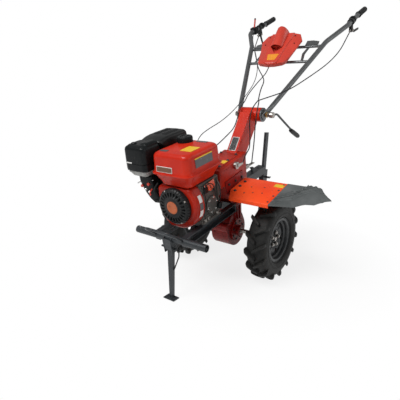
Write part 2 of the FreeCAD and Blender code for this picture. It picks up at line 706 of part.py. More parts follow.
def tube(points, bends, radius, wall):
    """A hollow round tube along a path."""
    return sweep(points, bends, radius).cut(sweep(points, bends, float(radius) - float(wall)))


def rod(start, end, radius):
    """A straight round bar between two points."""
    first = Vector(*[float(value) for value in start])
    last = Vector(*[float(value) for value in end])
    return Part.makeCylinder(float(radius), (last - first).Length, first, last - first)


# ---------------------------------------------------------------- wheels

def casing_curve(half_width, height):
    """Section from bead to bead: upright past the rim flange, then round and wider over the tread."""
    rounds = []
    bulge = S.tyre_half_width - S.bead_half_width
    for step in range(1, 12):
        angle = math.radians(180.0 * step / 12)
        across = math.copysign(abs(math.cos(angle)) ** 0.45, math.cos(angle))
        rise = math.sin(angle) ** 0.6
        out = half_width * across + bulge * (across * min(1.0, 2.2 * rise))
        rounds.append((out, S.rim_flange_radius + height * rise))
    right = [(half_width, S.bead_radius), (half_width, S.rim_flange_radius)]
    left = [(-half_width, S.rim_flange_radius), (-half_width, S.bead_radius)]
    return right + rounds + left


def make_tyre(label, side):
    """Rubber casing with chevron lugs, open towards the rim like a real one."""
    body = new_body(label)
    height = S.carcass_radius - S.rim_flange_radius
    revolve(body, draw_outline(body, "XZ_Plane", casing_curve(S.bead_half_width, height)))
    half = S.lug_width / 2
    outer = S.tyre_half_width
    root = S.carcass_radius - S.lug_root
    for hand, turn in ((1, 0), (-1, as_size(180) / S.lug_count)):
        start = S.lug_overlap * -hand
        lead = S.lug_sweep / 2
        bar = [(start, -lead - half), (outer * hand, lead - half), (outer * hand, lead + half), (start, half - lead)]
        lug = pad(body, draw_outline(body, "XY_Plane", bar, -root, turn), S.tyre_radius - root + S.crown_drop,
                  back=True)
        polar(body, [lug], S.lug_count)
    inner = casing_curve(S.bead_half_width - S.tyre_wall, height - S.tyre_wall)
    inner = [(inner[0][0], S.bead_radius - S.tyre_wall)] + inner + [(inner[-1][0], S.bead_radius - S.tyre_wall)]
    revolve(body, draw_outline(body, "XZ_Plane", inner), kind="Groove")
    reach = S.tyre_half_width + S.tyre_wall
    trim = []
    for step in range(-4, 5):
        share = step / 4
        trim.append((S.tyre_half_width * share, S.tyre_radius - S.crown_drop * (share * share)))
    far = S.tyre_radius + S.lug_sweep
    trim = [(-reach, S.carcass_radius)] + trim + [(reach, S.carcass_radius), (reach, far), (-reach, far)]
    revolve(body, draw_outline(body, "XZ_Plane", trim), kind="Groove")
    keep(body, label, side=S.half_track * side, lean=0)
    return body


def make_rim(label, side):
    """Pressed wheel rim with a dished disc and oval holes."""
    body = new_body(label)
    edge = S.bead_half_width + S.rim_wall
    inner = S.bead_radius - S.rim_wall
    well = S.rim_well_radius
    profile = [
        (-edge, S.rim_flange_radius), (-S.bead_half_width, S.rim_flange_radius),
        (-S.bead_half_width, S.bead_radius), (-S.bead_half_width * 0.55, S.bead_radius),
        (-S.bead_half_width * 0.4, well), (S.bead_half_width * 0.4, well),
        (S.bead_half_width * 0.55, S.bead_radius), (S.bead_half_width, S.bead_radius),
        (S.bead_half_width, S.rim_flange_radius), (edge, S.rim_flange_radius),
        (edge, inner), (S.bead_half_width * 0.55 + S.rim_wall, inner),
        (S.bead_half_width * 0.4 + S.rim_wall, well - S.rim_wall),
        (S.rim_wall - S.disc_offset, well - S.rim_wall), (S.rim_wall - S.disc_offset, S.hub_radius),
        (-S.disc_offset, S.hub_radius), (-S.disc_offset, well - S.rim_wall),
        (-S.bead_half_width * 0.4 - S.rim_wall, well - S.rim_wall),
        (-S.bead_half_width * 0.55 - S.rim_wall, inner), (-edge, inner),
    ]
    revolve(body, draw_outline(body, "XZ_Plane", profile))
    hole = pocket(body, draw_circle(body, "YZ_Plane", 0, S.disc_hole_circle, S.disc_hole_radius))
    polar(body, [hole], S.disc_hole_count)
    keep(body, label, side=S.half_track * side, lean=0)
    if side < 0:
        turn_round(body)
    return body


def turn_round(body):
    """Face a right-hand wheel piece outwards: half a turn about the upright axis."""
    spot = body.Placement.Base
    body.Placement = FreeCAD.Placement(spot, FreeCAD.Rotation(Vector(0, 0, 1), 180))


def make_hub(label, side):
    """Flanged sleeve on the hexagonal axle."""
    body = new_body(label)
    face = -S.disc_offset
    inner = face - S.hub_flange_thickness
    bore = S.axle_hex / 2
    profile = [
        (inner - S.hub_inner_reach, bore), (inner - S.hub_inner_reach, S.hub_radius),
        (inner, S.hub_radius), (inner, S.hub_flange_radius), (face, S.hub_flange_radius),
        (face, S.hub_radius), (face + S.hub_outer_reach, S.hub_radius), (face + S.hub_outer_reach, bore),
    ]
    revolve(body, draw_outline(body, "XZ_Plane", profile))
    keep(body, label, side=S.half_track * side, lean=0)
    if side < 0:
        turn_round(body)
    return body


def make_axle():
    """Hexagonal through axle with a round journal in the final drive."""
    half = S.half_track - S.disc_offset + S.hub_outer_reach + S.axle_overhang
    bar = doc.addObject("Part::Prism", "axle_bar")
    bar.Polygon = 6
    bar.setExpression("Circumradius", (S.axle_hex / 2).formula)
    bar.setExpression("Height", (half * 2).formula)
    bar.Placement = FreeCAD.Placement(Vector(-half.number, 0, 0), FreeCAD.Rotation(Vector(0, 1, 0), 90))
    bar.setExpression("Placement.Base.x", (-half).formula)
    journal = doc.addObject("Part::Cylinder", "axle_journal")
    reach = S.drive_half_width + S.cover_thickness + S.boss_reach
    journal.setExpression("Radius", S.journal_radius.formula)
    journal.setExpression("Height", (reach * 2).formula)
    journal.Placement = FreeCAD.Placement(Vector(-reach.number, 0, 0), FreeCAD.Rotation(Vector(0, 1, 0), 90))
    journal.setExpression("Placement.Base.x", (-reach).formula)
    axle = doc.addObject("Part::MultiFuse", "axle_shaft")
    axle.Shapes = [bar, journal]
    keep(axle, "axle_shaft", lean=0)


# ---------------------------------------------------------------- final drive and gearbox

def make_final_drive():
    """Round housing on the axle, its bolted side covers, and the ribbed neck that carries the gearbox."""
    body = new_body("final_drive")
    pad(body, draw_circle(body, "YZ_Plane", 0, 0, S.drive_radius), S.drive_half_width * 2, symmetric=True)
    lobe = draw_circle(body, "YZ_Plane", -S.lobe_ahead, S.lobe_up, S.lobe_radius)
    pad(body, lobe, S.drive_half_width * 2, symmetric=True)
    block(body, -S.neck_half_width, S.neck_half_width, -S.neck_front, S.neck_rear, 0, S.split_up)
    reach = S.split_flange_reach
    block(body, -S.neck_half_width - reach, S.neck_half_width + reach, -S.neck_front - reach,
          S.neck_rear + reach, S.split_up - S.split_flange, S.split_up)
    rib = S.neck_half_width + S.neck_rib_reach
    middle = (S.neck_rear - S.neck_front) / 2
    for back in (middle / 2 - S.neck_front / 2, middle, middle / 2 + S.neck_rear / 2):
        block(body, -rib, rib, back - S.neck_rib_width / 2, back + S.neck_rib_width / 2, 0, S.split_up)
    cover = S.drive_half_width + S.cover_thickness
    boss = cover + S.boss_reach
    pad(body, draw_circle(body, "YZ_Plane", 0, 0, S.cover_radius), cover * 2, symmetric=True)
    pad(body, draw_circle(body, "YZ_Plane", 0, 0, S.boss_radius), boss * 2, symmetric=True)
    bore = S.journal_radius + S.running_clearance
    pocket(body, draw_circle(body, "YZ_Plane", 0, 0, bore))
    keep(body, "final_drive")


def case_top(back):
    """Height of the gearbox top at a distance behind the axle."""
    slope = (S.case_rear_top - S.case_front_top) / (S.case_rear + S.case_front)
    return S.case_front_top + (S.case_front + back) * slope


def make_gearbox():
    """Gearbox case on the final drive's neck, with its bolted lid."""
    body = new_body("gearbox_case")
    side = [(-S.case_front, S.case_front_base), (-S.case_front, S.case_front_top),
            (S.case_rear, S.case_rear_top), (S.case_rear, S.case_rear_base)]
    pad(body, draw_outline(body, "YZ_Plane", side), S.case_half_width * 2, symmetric=True)
    round_edges(body, S.case_rounding, lambda edge: abs(edge.CenterOfMass.x) > S.case_half_width.number - 1)
    reach = S.split_flange_reach
    block(body, -S.neck_half_width, S.neck_half_width, -S.neck_front, S.neck_rear, S.split_up,
          S.case_front_base)
    block(body, -S.neck_half_width - reach, S.neck_half_width + reach, -S.neck_front - reach,
          S.neck_rear + reach, S.split_up, S.split_up + S.split_flange)
    lid = [(-S.lid_front, case_top(-S.lid_front)), (-S.lid_front, case_top(-S.lid_front) + S.lid_thickness),
           (S.lid_rear, case_top(S.lid_rear) + S.lid_thickness), (S.lid_rear, case_top(S.lid_rear))]
    pad(body, draw_outline(body, "YZ_Plane", lid), S.lid_half_width * 2, symmetric=True)
    keep(body, "gearbox_case")


def make_clutch_arm():
    """Boss and arm on the gearbox's left side that the clutch cable pulls."""
    body = new_body("clutch_arm")
    face = S.case_half_width
    outer = face + S.clutch_boss_reach
    ahead = -S.clutch_shaft_ahead
    up = S.clutch_shaft_up
    pad(body, draw_circle(body, "YZ_Plane", ahead, up, S.clutch_boss_radius, face), S.clutch_boss_reach)
    half = S.arm_width / 2
    end = ahead + S.clutch_arm_length
    arm = [(ahead, up - half), (end, up - half / 2), (end, up + half / 2), (ahead, up + half)]
    pad(body, draw_outline(body, "YZ_Plane", arm, outer), S.arm_sheet)
    keep(body, "clutch_arm")


def make_shift_arm():
    """Shaft and arm behind the gearbox that the reverse cable lifts."""
    body = new_body("shift_arm")
    face = S.case_rear
    outer = face + S.shift_boss_reach
    boss = draw_circle(body, "XZ_Plane", S.shift_out, S.shift_up, S.shift_boss_radius, -outer)
    pad(body, boss, S.shift_boss_reach)
    half = S.arm_width / 2
    block(body, S.shift_out - half, S.shift_out + half, outer - half, outer + S.shift_arm_length,
          S.shift_up - S.arm_sheet / 2, S.shift_up + S.arm_sheet / 2)
    keep(body, "shift_arm")


def make_clutch_housing():
    """Round housing between the engine's output face and the gearbox."""
    body = new_body("clutch_housing")
    disc = draw_circle(body, "XZ_Plane", 0, S.crank_up, S.clutch_radius, S.case_front)
    pad(body, disc, S.engine_rear - S.case_front)
    keep(body, "clutch_housing")


# ---------------------------------------------------------------- engine

def make_crankcase():
    """Closed heavy mass of the engine, with the flange along its foot and a round side cover."""
    body = new_body("engine_crankcase")
    block(body, -S.engine_right, S.engine_left, -S.engine_front, -S.engine_rear, S.engine_base, S.engine_top)
    block(body, -S.rail_outer, S.engine_left + S.sump_reach, -S.plate_front, -S.plate_rear, S.engine_base,
          S.engine_base + S.sump_height)
    cover = draw_circle(body, "YZ_Plane", -S.side_cover_ahead, S.side_cover_up, S.side_cover_radius,
                        S.engine_left)
    pad(body, cover, S.side_cover_reach)
    keep(body, "engine_crankcase")


def make_cylinder():
    """Finned barrel, head and rocker cover on the engine's right side."""
    body = new_body("cylinder_head")
    fin = S.fin_reach
    block(body, -S.head_right, -S.engine_right, -S.head_front + fin, -S.head_rear - fin, S.head_base + fin,
          S.head_top - fin)
    outer = -S.fins_right
    plate = block(body, outer, outer + S.fin_sheet, -S.head_front, -S.head_rear, S.head_base, S.head_top)
    row(body, [plate], S.fins_right - S.engine_right - S.fin_sheet * 2, S.fin_count)
    inset = S.rocker_inset
    block(body, -S.head_right, outer - inset, -S.head_front + inset, -S.head_rear - inset,
          S.head_base + inset, S.head_top - inset)
    keep(body, "cylinder_head")


def shroud_outline(shrink):
    """Front view of the fan shroud about the crankshaft, drawn in by shrink."""
    radius = S.shroud_radius - shrink
    outline = []
    for angle in range(-90, 50, 15):
        outline.append((radius * cosine(angle), radius * sine(angle)))
    top = S.shroud_top - shrink
    outline += [(radius * 0.72, top), (-radius * 0.9, top), (-radius * 0.9, -radius * 0.5),
                (-radius * 0.5, -radius)]
    return outline


def make_shroud():
    """Sheet-metal fan shroud round the flywheel, rounded towards its front."""
    body = new_body("fan_shroud")
    edge = S.shroud_edge
    depth = S.shroud_depth
    stations = [(0, 0), (0, depth - edge), (edge * 0.3, depth - edge * 0.3), (edge, depth)]
    sketches = [draw_outline(body, "XZ_Plane", shroud_outline(shrink), offset) for shrink, offset in stations]
    loft(body, sketches)
    keep(body, "fan_shroud", back=-S.engine_front, up=S.crank_up)


def make_starter():
    """Recoil starter cover in front of the shroud, with its ring of slots, turned about the crankshaft."""
    body = new_body("recoil_starter")
    front = -S.starter_depth
    profile = [(0, 0), (0, S.starter_radius), (front * 0.6, S.starter_radius),
               (front * 0.9, S.starter_radius * 0.9), (front * 0.9, S.starter_hub_radius),
               (front, S.starter_hub_radius), (front, 0)]
    revolve(body, draw_outline(body, "YZ_Plane", profile))
    half = S.starter_slot_width / 2
    slot = [(S.starter_slot_inner, -half), (S.starter_slot_outer, -half), (S.starter_slot_outer, half),
            (S.starter_slot_inner, half)]
    cut = pocket(body, draw_outline(body, "XZ_Plane", slot, S.starter_depth), S.starter_slot_depth,
                 symmetric=False)
    polar(body, [cut], S.starter_slot_count, "Y_Axis")
    keep(body, "recoil_starter", back=-S.engine_front - S.shroud_depth, up=S.crank_up)


def tank_section(body, inset, corner, up, wall=0):
    """One level section of the tank."""
    return draw_rounded(body, "XY_Plane", -S.tank_right + inset + wall, S.tank_left - inset - wall,
                        -S.tank_front + inset + wall, -S.tank_rear - inset - wall, corner - wall, up)


def make_tank():
    """Pressed fuel tank: tucked lower half, seam flange, drafted upper half with a round edge, and filler."""
    body = new_body("fuel_tank")
    corner = S.tank_corner
    bend = S.tank_round
    shoulder = S.tank_top - bend
    levels = [(S.tank_tuck, S.engine_top), (as_size(0), S.tank_seam_up), (S.tank_draft, shoulder)]
    for angle in (30, 60, 90):
        levels.append((S.tank_draft + bend * (1 - cosine(angle)), shoulder + bend * sine(angle)))
    loft(body, [tank_section(body, inset, corner, up) for inset, up in levels])
    flange = tank_section(body, -S.seam_reach, corner, S.tank_seam_up - S.seam_thickness / 2)
    pad(body, flange, S.seam_thickness)
    wall = S.tank_wall
    inner = [(levels[0][0], levels[0][1] + wall)] + levels[1:-1]
    inner.append((levels[-1][0], levels[-1][1] - wall))
    loft(body, [tank_section(body, inset, corner, up, wall) for inset, up in inner], "SubtractiveLoft")
    hole = draw_circle(body, "XY_Plane", -S.cap_right, -S.cap_front, S.filler_radius, S.tank_top - wall * 2)
    pocket(body, hole, wall * 4, symmetric=False, back=True)
    keep(body, "fuel_tank")


def make_cap():
    """Filler cap on the tank."""
    body = new_body("fuel_cap")
    radius = S.cap_radius
    profile = [(0, 0), (radius, 0), (radius, S.cap_height * 0.75), (radius * 0.85, S.cap_height),
               (0, S.cap_height)]
    revolve(body, draw_outline(body, "XZ_Plane", profile), "V_Axis")
    keep(body, "fuel_cap", side=-S.cap_right, back=-S.cap_front, up=S.tank_top)


def cleaner_section(body, inset, up):
    """One level section of the air cleaner's case, drawn in by inset."""
    return draw_rounded(body, "XY_Plane", -S.cleaner_right + inset, -S.cleaner_left - inset,
                        -S.cleaner_front + inset, -S.cleaner_rear - inset, S.cleaner_corner, up)


def make_air_cleaner():
    """Air cleaner case with bevelled top, hump and knob."""
    case = new_body("air_cleaner")
    bevel = S.cleaner_bevel
    levels = [(0, S.cleaner_base), (0, S.cleaner_top - bevel * 1.4), (bevel * 0.35, S.cleaner_top - bevel * 0.7),
              (bevel, S.cleaner_top)]
    loft(case, [cleaner_section(case, as_size(inset), up) for inset, up in levels])
    middle_side = -(S.cleaner_right + S.cleaner_left) / 2
    middle_back = -(S.cleaner_front + S.cleaner_rear) / 2
    knob = draw_circle(case, "XY_Plane", middle_side, middle_back, S.knob_radius, S.cleaner_top)
    pad(case, knob, S.knob_height)
    hump = [(middle_back + S.knob_radius, S.cleaner_top - bevel), (middle_back + S.knob_radius * 2, S.cleaner_top
            + S.cleaner_hump_height), (-S.cleaner_rear - bevel, S.cleaner_top + S.cleaner_hump_height / 2),
            (-S.cleaner_rear - bevel / 2, S.cleaner_top - bevel)]
    pad(case, draw_outline(case, "YZ_Plane", hump, middle_side + S.knob_radius), -S.cleaner_left - bevel * 1.2
        - middle_side - S.knob_radius)
    keep(case, "air_cleaner")


def make_cleaner_tray():
    """Tapered tray that the air cleaner's case sits on."""
    tray = new_body("air_cleaner_tray")
    inset = S.cleaner_inset
    sketches = [cleaner_section(tray, inset * 2, S.cleaner_base - S.cleaner_tray),
                cleaner_section(tray, inset, S.cleaner_base)]
    loft(tray, sketches)
    keep(tray, "air_cleaner_tray")


def make_carburettor():
    """Carburettor body with its float bowl, and the elbow up to the air cleaner."""
    body = new_body("carburettor")
    low = S.carb_base + (S.cleaner_base - S.carb_base) / 4
    face = [(-S.carb_right, S.cleaner_base - S.cleaner_tray), (-S.carb_right, low + S.cleaner_tray),
            (-S.carb_left - S.cleaner_tray, S.carb_base), (-S.carb_left, S.carb_base),
            (-S.carb_left, S.cleaner_base - S.cleaner_tray)]
    pad(body, draw_outline(body, "XZ_Plane", face, S.head_front), S.carb_front - S.head_front)
    keep(body, "carburettor")


def muffler_section(body, out, up):
    """One level section round the muffler, let out by out."""
    return draw_rounded(body, "XY_Plane", -S.muffler_right - out, -S.muffler_left + out, -S.muffler_front - out,
                        -S.muffler_rear + out, S.muffler_corner, up)


def make_muffler():
    """Muffler can and the neck it stands on."""
    body = new_body("muffler")
    room = -S.guard_gap - S.guard_sheet
    can = muffler_section(body, room, S.muffler_base)
    pad(body, can, S.muffler_top - S.muffler_base + room - S.guard_brow / 4)
    middle_back = -(S.muffler_front + S.muffler_rear) / 2
    middle_up = (S.muffler_top + S.muffler_base) / 2
    spacer = draw_circle(body, "YZ_Plane", middle_back, middle_up, S.guard_spacer_radius,
                         -S.muffler_right + S.guard_sheet)
    pad(body, spacer, S.muffler_right - S.muffler_left - S.guard_sheet * 2)
    neck_side = -(S.head_right + S.muffler_left) / 2
    neck = draw_circle(body, "XY_Plane", neck_side, -S.head_rear - S.exhaust_radius * 2, S.exhaust_radius,
                       S.head_top)
    pad(body, neck, S.muffler_base - S.head_top)
    keep(body, "muffler")


def make_heat_guard():
    """Slotted heat guard over the muffler, with a lip that reaches forward like a visor."""
    body = new_body("heat_guard")
    front = -S.muffler_front
    shoulder = S.guard_brow / 2
    lip_up = S.muffler_top - S.guard_brow * 1.3
    side = [(front, S.muffler_base), (front - S.guard_lip, lip_up),
            (front - S.guard_lip / 2, S.muffler_top - shoulder / 2),
            (front + S.guard_brow, S.muffler_top),
            (-S.muffler_rear - shoulder, S.muffler_top), (-S.muffler_rear, S.muffler_top - shoulder),
            (-S.muffler_rear, S.muffler_base)]
    pad(body, draw_outline(body, "YZ_Plane", side, -S.muffler_right), S.muffler_right - S.muffler_left)
    round_edges(body, S.muffler_corner / 2, lambda edge: edge.CenterOfMass.z > S.muffler_top.number - 1
                and not runs_along(edge, 0))
    wall = S.guard_sheet
    hollow = [(front - S.guard_lip, S.muffler_base), (front - S.guard_lip, lip_up - wall),
              (front - S.guard_lip / 2 + wall, S.muffler_top - shoulder / 2 - wall * 2),
              (front + S.guard_brow, S.muffler_top - wall),
              (-S.muffler_rear - shoulder, S.muffler_top - wall), (-S.muffler_rear - wall,
              S.muffler_top - shoulder - wall), (-S.muffler_rear - wall, S.muffler_base)]
    inner = draw_outline(body, "YZ_Plane", hollow, -S.muffler_right + wall)
    pocket(body, inner, S.muffler_right - S.muffler_left - wall * 2, symmetric=False, back=True)
    middle = -(S.muffler_right + S.muffler_left) / 2
    half = S.guard_slot_length / 2
    first = front + S.guard_brow + S.guard_slot_width
    slot = [(middle - half, first), (middle + half, first), (middle + half, first + S.guard_slot_width),
            (middle - half, first + S.guard_slot_width)]
    cut = pocket(body, draw_outline(body, "XY_Plane", slot, S.muffler_top), wall * 2)
    run = S.muffler_front - S.muffler_rear - S.guard_brow * 2 - S.guard_slot_width * 2
    row(body, [cut], run, S.guard_slot_count, "Y_Axis")
    keep(body, "heat_guard")


# ---------------------------------------------------------------- frame, bumper and stand

def make_frame():
    """Two channel rails, the engine plate on them and the plate that bolts to the neck."""
    body = new_body("engine_frame")
    rear = -S.neck_front
    joint = rear - S.split_flange_reach
    metal = S.rail_metal
    for side in (1, -1):
        edges = sorted((S.rail_inner * side, S.rail_outer * side), key=float)
        block(body, edges[0], edges[1], -S.bumper_front, joint, S.rail_base, S.rail_top)
    block(body, -S.rail_outer, S.rail_outer, -S.plate_front, -S.plate_rear, S.rail_top, S.engine_base)
    for side in (1, -1):
        channel = [(-S.bumper_front + S.bumper_radius + metal, S.rail_base + metal), (joint - S.rear_plate,
                   S.rail_base + metal), (joint - S.rear_plate, S.rail_top - metal),
                   (-S.bumper_front + S.bumper_radius + metal, S.rail_top - metal)]
        sketch = draw_outline(body, "YZ_Plane", channel, (S.rail_inner + metal) * side)
        pocket(body, sketch, S.rail_outer - S.rail_inner, symmetric=False, back=side > 0)
    block(body, -S.rail_outer, S.rail_outer, joint - S.rear_plate, joint, S.rail_base, S.rail_top)
    middle = (S.rail_base + S.rail_top) / 2
    for back in (-S.plate_front - S.rail_slot_half_length * 2, joint - S.rear_plate - S.rail_slot_half_length * 3):
        slot = draw_rounded(body, "YZ_Plane", back - S.rail_slot_half_length, back + S.rail_slot_half_length,
                            middle - S.rail_slot_half_height, middle + S.rail_slot_half_height,
                            S.rail_slot_half_height * 0.9)
        pocket(body, slot)
    pocket(body, draw_circle(body, "YZ_Plane", -S.bumper_front, S.bumper_up, S.bumper_radius))
    keep(body, "engine_frame")


def make_bumper():
    """Bumper cross tube, open at both ends, with a small hole on top near each end."""
    body = new_body("bumper_tube")
    pad(body, draw_circle(body, "YZ_Plane", 0, 0, S.bumper_radius), S.bumper_half_length * 2, symmetric=True)
    pocket(body, draw_circle(body, "YZ_Plane", 0, 0, S.bumper_radius - S.bumper_wall))
    for side in (1, -1):
        out = (S.bumper_half_length - S.bumper_hole_inset) * side
        hole = draw_circle(body, "XY_Plane", out, 0, S.bumper_hole_radius)
        pocket(body, hole, S.bumper_radius + S.bumper_wall, symmetric=False, back=True)
    keep(body, "bumper_tube", back=-S.bumper_front, up=S.bumper_up)


def make_hoop():
    """Bent lifting hoop on the bumper tube."""
    side = S.hoop_half_width
    foot = (-S.bumper_front, S.bumper_up)
    top = (-S.hoop_front, S.hoop_up)
    points = [(side, *foot), (side, *top), (-side, *top), (-side, *foot)]
    bar = sweep(points, [S.hoop_bend] * 2, S.hoop_bar_radius)
    reach = float(S.bumper_half_length)
    seat = Part.makeCylinder(float(S.bumper_radius), 2 * reach,
                             Vector(-reach, float(foot[0]), float(foot[1])), Vector(1, 0, 0))
    keep_fixed(bar.cut(seat), "lifting_hoop")


def make_stand_bracket():
    """Two cheeks under the bumper tube with a folded prow plate between them, and the pivot pin."""
    body = new_body("stand_bracket")
    metal = S.cheek_thickness
    drop = S.stand_pivot_up - S.stand_pin_radius * 3
    half = S.stand_pin_radius * 4
    front, rear = -S.pivot_front - half, -S.pivot_front + half
    outer = S.cheek_inner + metal
    prow = -S.bumper_front - S.prow_reach
    side_view = [(rear, drop), (rear, S.bumper_up), (-S.bumper_front, S.bumper_up + S.bumper_radius),
                 (prow, S.bumper_up + S.bumper_radius / 2), (prow, S.bumper_up - S.bumper_radius / 2), (front, drop)]
    for side in (1, -1):
        edge = S.cheek_inner if side > 0 else -outer
        pad(body, draw_outline(body, "YZ_Plane", side_view, edge), metal)
    lip = [(prow, S.bumper_up + S.bumper_radius / 2), (prow, S.bumper_up - S.bumper_radius / 2),
           (front, drop + S.stand_pin_radius * 3), (front + metal, drop + S.stand_pin_radius * 3),
           (prow + metal, S.bumper_up - S.bumper_radius / 2), (prow + metal, S.bumper_up + S.bumper_radius / 2)]
    pad(body, draw_outline(body, "YZ_Plane", lip), outer * 2, symmetric=True)
    block(body, -outer, outer, rear - metal, rear, S.stand_pivot_up + S.leg_thickness, S.bumper_up)
    pocket(body, draw_circle(body, "YZ_Plane", -S.bumper_front, S.bumper_up, S.bumper_radius))
    pin = draw_circle(body, "YZ_Plane", -S.pivot_front, S.stand_pivot_up, S.stand_pin_radius)
    pad(body, pin, (S.rod_out + S.rod_radius * 3) * 2, symmetric=True)
    keep(body, "stand_bracket")


def make_stand_leg():
    """Tapered channel leg on its pivot, upright when the machine is parked, with its foot plate."""
    body = new_body("stand_leg")
    length = world_up(-S.pivot_front, S.stand_pivot_up)
    top = S.leg_thickness
    metal = S.cheek_thickness
    foot = S.foot_thickness - length
    face = [(-S.leg_top_half_width, top), (-S.leg_top_half_width, -top * 2), (-S.leg_foot_half_width, foot),
            (S.leg_foot_half_width, foot), (S.leg_top_half_width, -top * 2), (S.leg_top_half_width, top)]
    pad(body, draw_outline(body, "XZ_Plane", face), S.leg_thickness, symmetric=True)
    inner = [(metal - S.leg_top_half_width, -top * 2), (metal - S.leg_foot_half_width, foot + metal),
             (S.leg_foot_half_width - metal, foot + metal), (S.leg_top_half_width - metal, -top * 2)]
    channel = draw_outline(body, "XZ_Plane", inner, metal - S.leg_thickness / 2)
    pocket(body, channel, S.leg_thickness, symmetric=False)
    block(body, -S.foot_half_width, S.foot_half_width, -S.foot_ahead, S.foot_behind, -length,
          S.foot_thickness - length)
    pocket(body, draw_circle(body, "YZ_Plane", 0, 0, S.stand_pin_radius + S.joint_gap))
    keep(body, "stand_leg", back=-S.pivot_front, up=S.stand_pivot_up, lean=0)


def make_stand_rod():
    """Latch rod from an eye on the pivot pin down to the stand leg."""
    eye = float(S.stand_pin_radius + S.rod_radius + S.joint_gap)
    out = float(S.rod_out)
    drop = float(S.rod_drop)
    points = [(out, 0, -eye), (out, 0, -drop * 0.3), (S.leg_top_half_width, 0, -drop), (0, 0, -drop)]
    bar = sweep(points, [S.rod_radius * 8, S.rod_radius * 3], S.rod_radius)
    half = float(S.rod_radius)
    ring = Part.makeCylinder(eye + half, 2 * half, Vector(out - half, 0, 0), Vector(1, 0, 0))
    bore = Part.makeCylinder(eye - half, 2 * half, Vector(out - half, 0, 0), Vector(1, 0, 0))
    shoulder = float(S.leg_thickness) * 2
    share = (drop - shoulder) / (float(world_up(-S.pivot_front, S.stand_pivot_up) - S.foot_thickness) - shoulder)
    leg = float(S.leg_top_half_width) * (1 - share) + float(S.leg_foot_half_width) * share
    inside = Part.makeBox(2 * leg, drop, drop, Vector(-leg, -drop / 2, -drop * 1.5))
    keep_fixed(bar.fuse(ring).cut(bore).cut(inside), "stand_rod", back=-S.pivot_front, up=S.stand_pivot_up, lean=0)


# ---------------------------------------------------------------- handle column

def make_column():
    """Leaning box column with the drum that the handles clamp on, open underneath."""
    body = new_body("handle_column")
    wall = S.column_wall
    foot = S.column_front_foot
    brow = S.pivot_back - S.brow_ahead
    heel = S.case_rear + S.heel_back
    toe = S.case_rear + S.toe_back
    heel_up = S.case_rear_top - S.heel_drop
    toe_up = S.case_rear_base + S.toe_rise
    side = [(foot, case_top(foot)), (brow, S.pivot_up + S.brow_rise), (S.pivot_back, S.pivot_up + S.crown_rise),
            (S.pivot_back, S.pivot_up - S.chin_drop), (heel, heel_up), (toe, toe_up),
            (S.case_rear, S.case_rear_base + S.toe_root_rise), (S.case_rear, S.case_rear_top)]
    pad(body, draw_outline(body, "YZ_Plane", side), S.column_half_width * 2, symmetric=True)
    pad(body, draw_circle(body, "YZ_Plane", S.pivot_back, S.pivot_up, S.drum_radius),
        S.drum_half_length * 2, symmetric=True)
    pocket(body, draw_circle(body, "YZ_Plane", S.pivot_back, S.pivot_up, S.tilt_bolt_radius + S.joint_gap))
    hollow = [(foot + wall * 2, case_top(foot + wall * 2)), (brow + wall, S.pivot_up + S.brow_rise - wall * 3),
              (brow + wall * 5, S.pivot_up - S.chin_drop / 2), (S.pivot_back - wall * 6, S.pivot_up - S.chin_drop
              - wall * 3), (heel - wall * 2, heel_up + wall), (toe - wall, toe_up + wall * 1.6),
              (S.case_rear, S.case_rear_base + S.toe_root_rise + wall * 2.4), (S.case_rear, S.case_rear_top)]
    pocket(body, draw_outline(body, "YZ_Plane", hollow), (S.column_half_width - wall) * 2)
    keep(body, "handle_column")



def bolt_head_face():
    """How far right of the middle the tilt bolt's head bears on the handlebar tube."""
    return S.tube_foot_out + S.tube_radius


def make_tilt_bolt():
    """Bolt through the drum, both clamp discs and both tube feet, with its head on the right."""
    body = new_body("tilt_bolt")
    head = -bolt_head_face()
    profile = [(head - S.bolt_head_height, 0), (head - S.bolt_head_height, S.bolt_head_radius),
               (head, S.bolt_head_radius), (head, S.tilt_bolt_radius), (S.crank_out, S.tilt_bolt_radius),
               (S.crank_out, 0)]
    revolve(body, draw_outline(body, "XZ_Plane", profile))
    keep(body, "tilt_bolt", back=S.pivot_back, up=S.pivot_up)


def crank_points():
    """Centre line of the clamp crank, from its hub to the tip of its grip."""
    return [(S.crank_out, S.pivot_back, S.pivot_up), (S.crank_out, S.crank_grip_back, S.crank_grip_up),
            (S.crank_out, S.crank_end_back, S.crank_end_up)]


def make_crank():
    """Clamp crank: a hub screwed on the tilt bolt, and a rod back to its grip."""
    hub_centre, grip_start, grip_end = crank_points()
    bar = rod(hub_centre, grip_end, S.crank_rod_radius)
    centre = Vector(*[float(value) for value in hub_centre])
    half = Vector(float(S.crank_hub_half), 0, 0)
    hub = Part.makeCylinder(float(S.crank_hub_radius), 2 * half.x, centre - half, Vector(1, 0, 0))
    bolt = Part.makeCylinder(float(S.tilt_bolt_radius), half.x, centre - half, Vector(1, 0, 0))
    grip = rod(grip_start, grip_end, S.crank_grip_radius)
    keep_fixed(bar.fuse(hub).fuse(grip).cut(bolt), "clamp_crank")


# ---------------------------------------------------------------- handlebar

def handle_points(side):
    """Centre line of one handlebar tube, from its clamp to the tip of its grip."""
    return [
        (S.tube_foot_out * side, S.pivot_back, S.pivot_up),
        (S.knee_out * side, S.knee_back, S.knee_up),
        (S.elbow_out * side, S.elbow_back, S.elbow_up),
        (S.grip_out * side, S.grip_start_back, S.grip_start_up),
        (S.grip_out * side, S.grip_end_back, S.grip_end_up),
    ]


def along_tube(side, share):
    """Point of a handlebar tube's centre line between its clamp and its knee."""
    foot, knee = handle_points(side)[:2]
    return tuple(start * (1 - share) + end * share for start, end in zip(foot, knee))


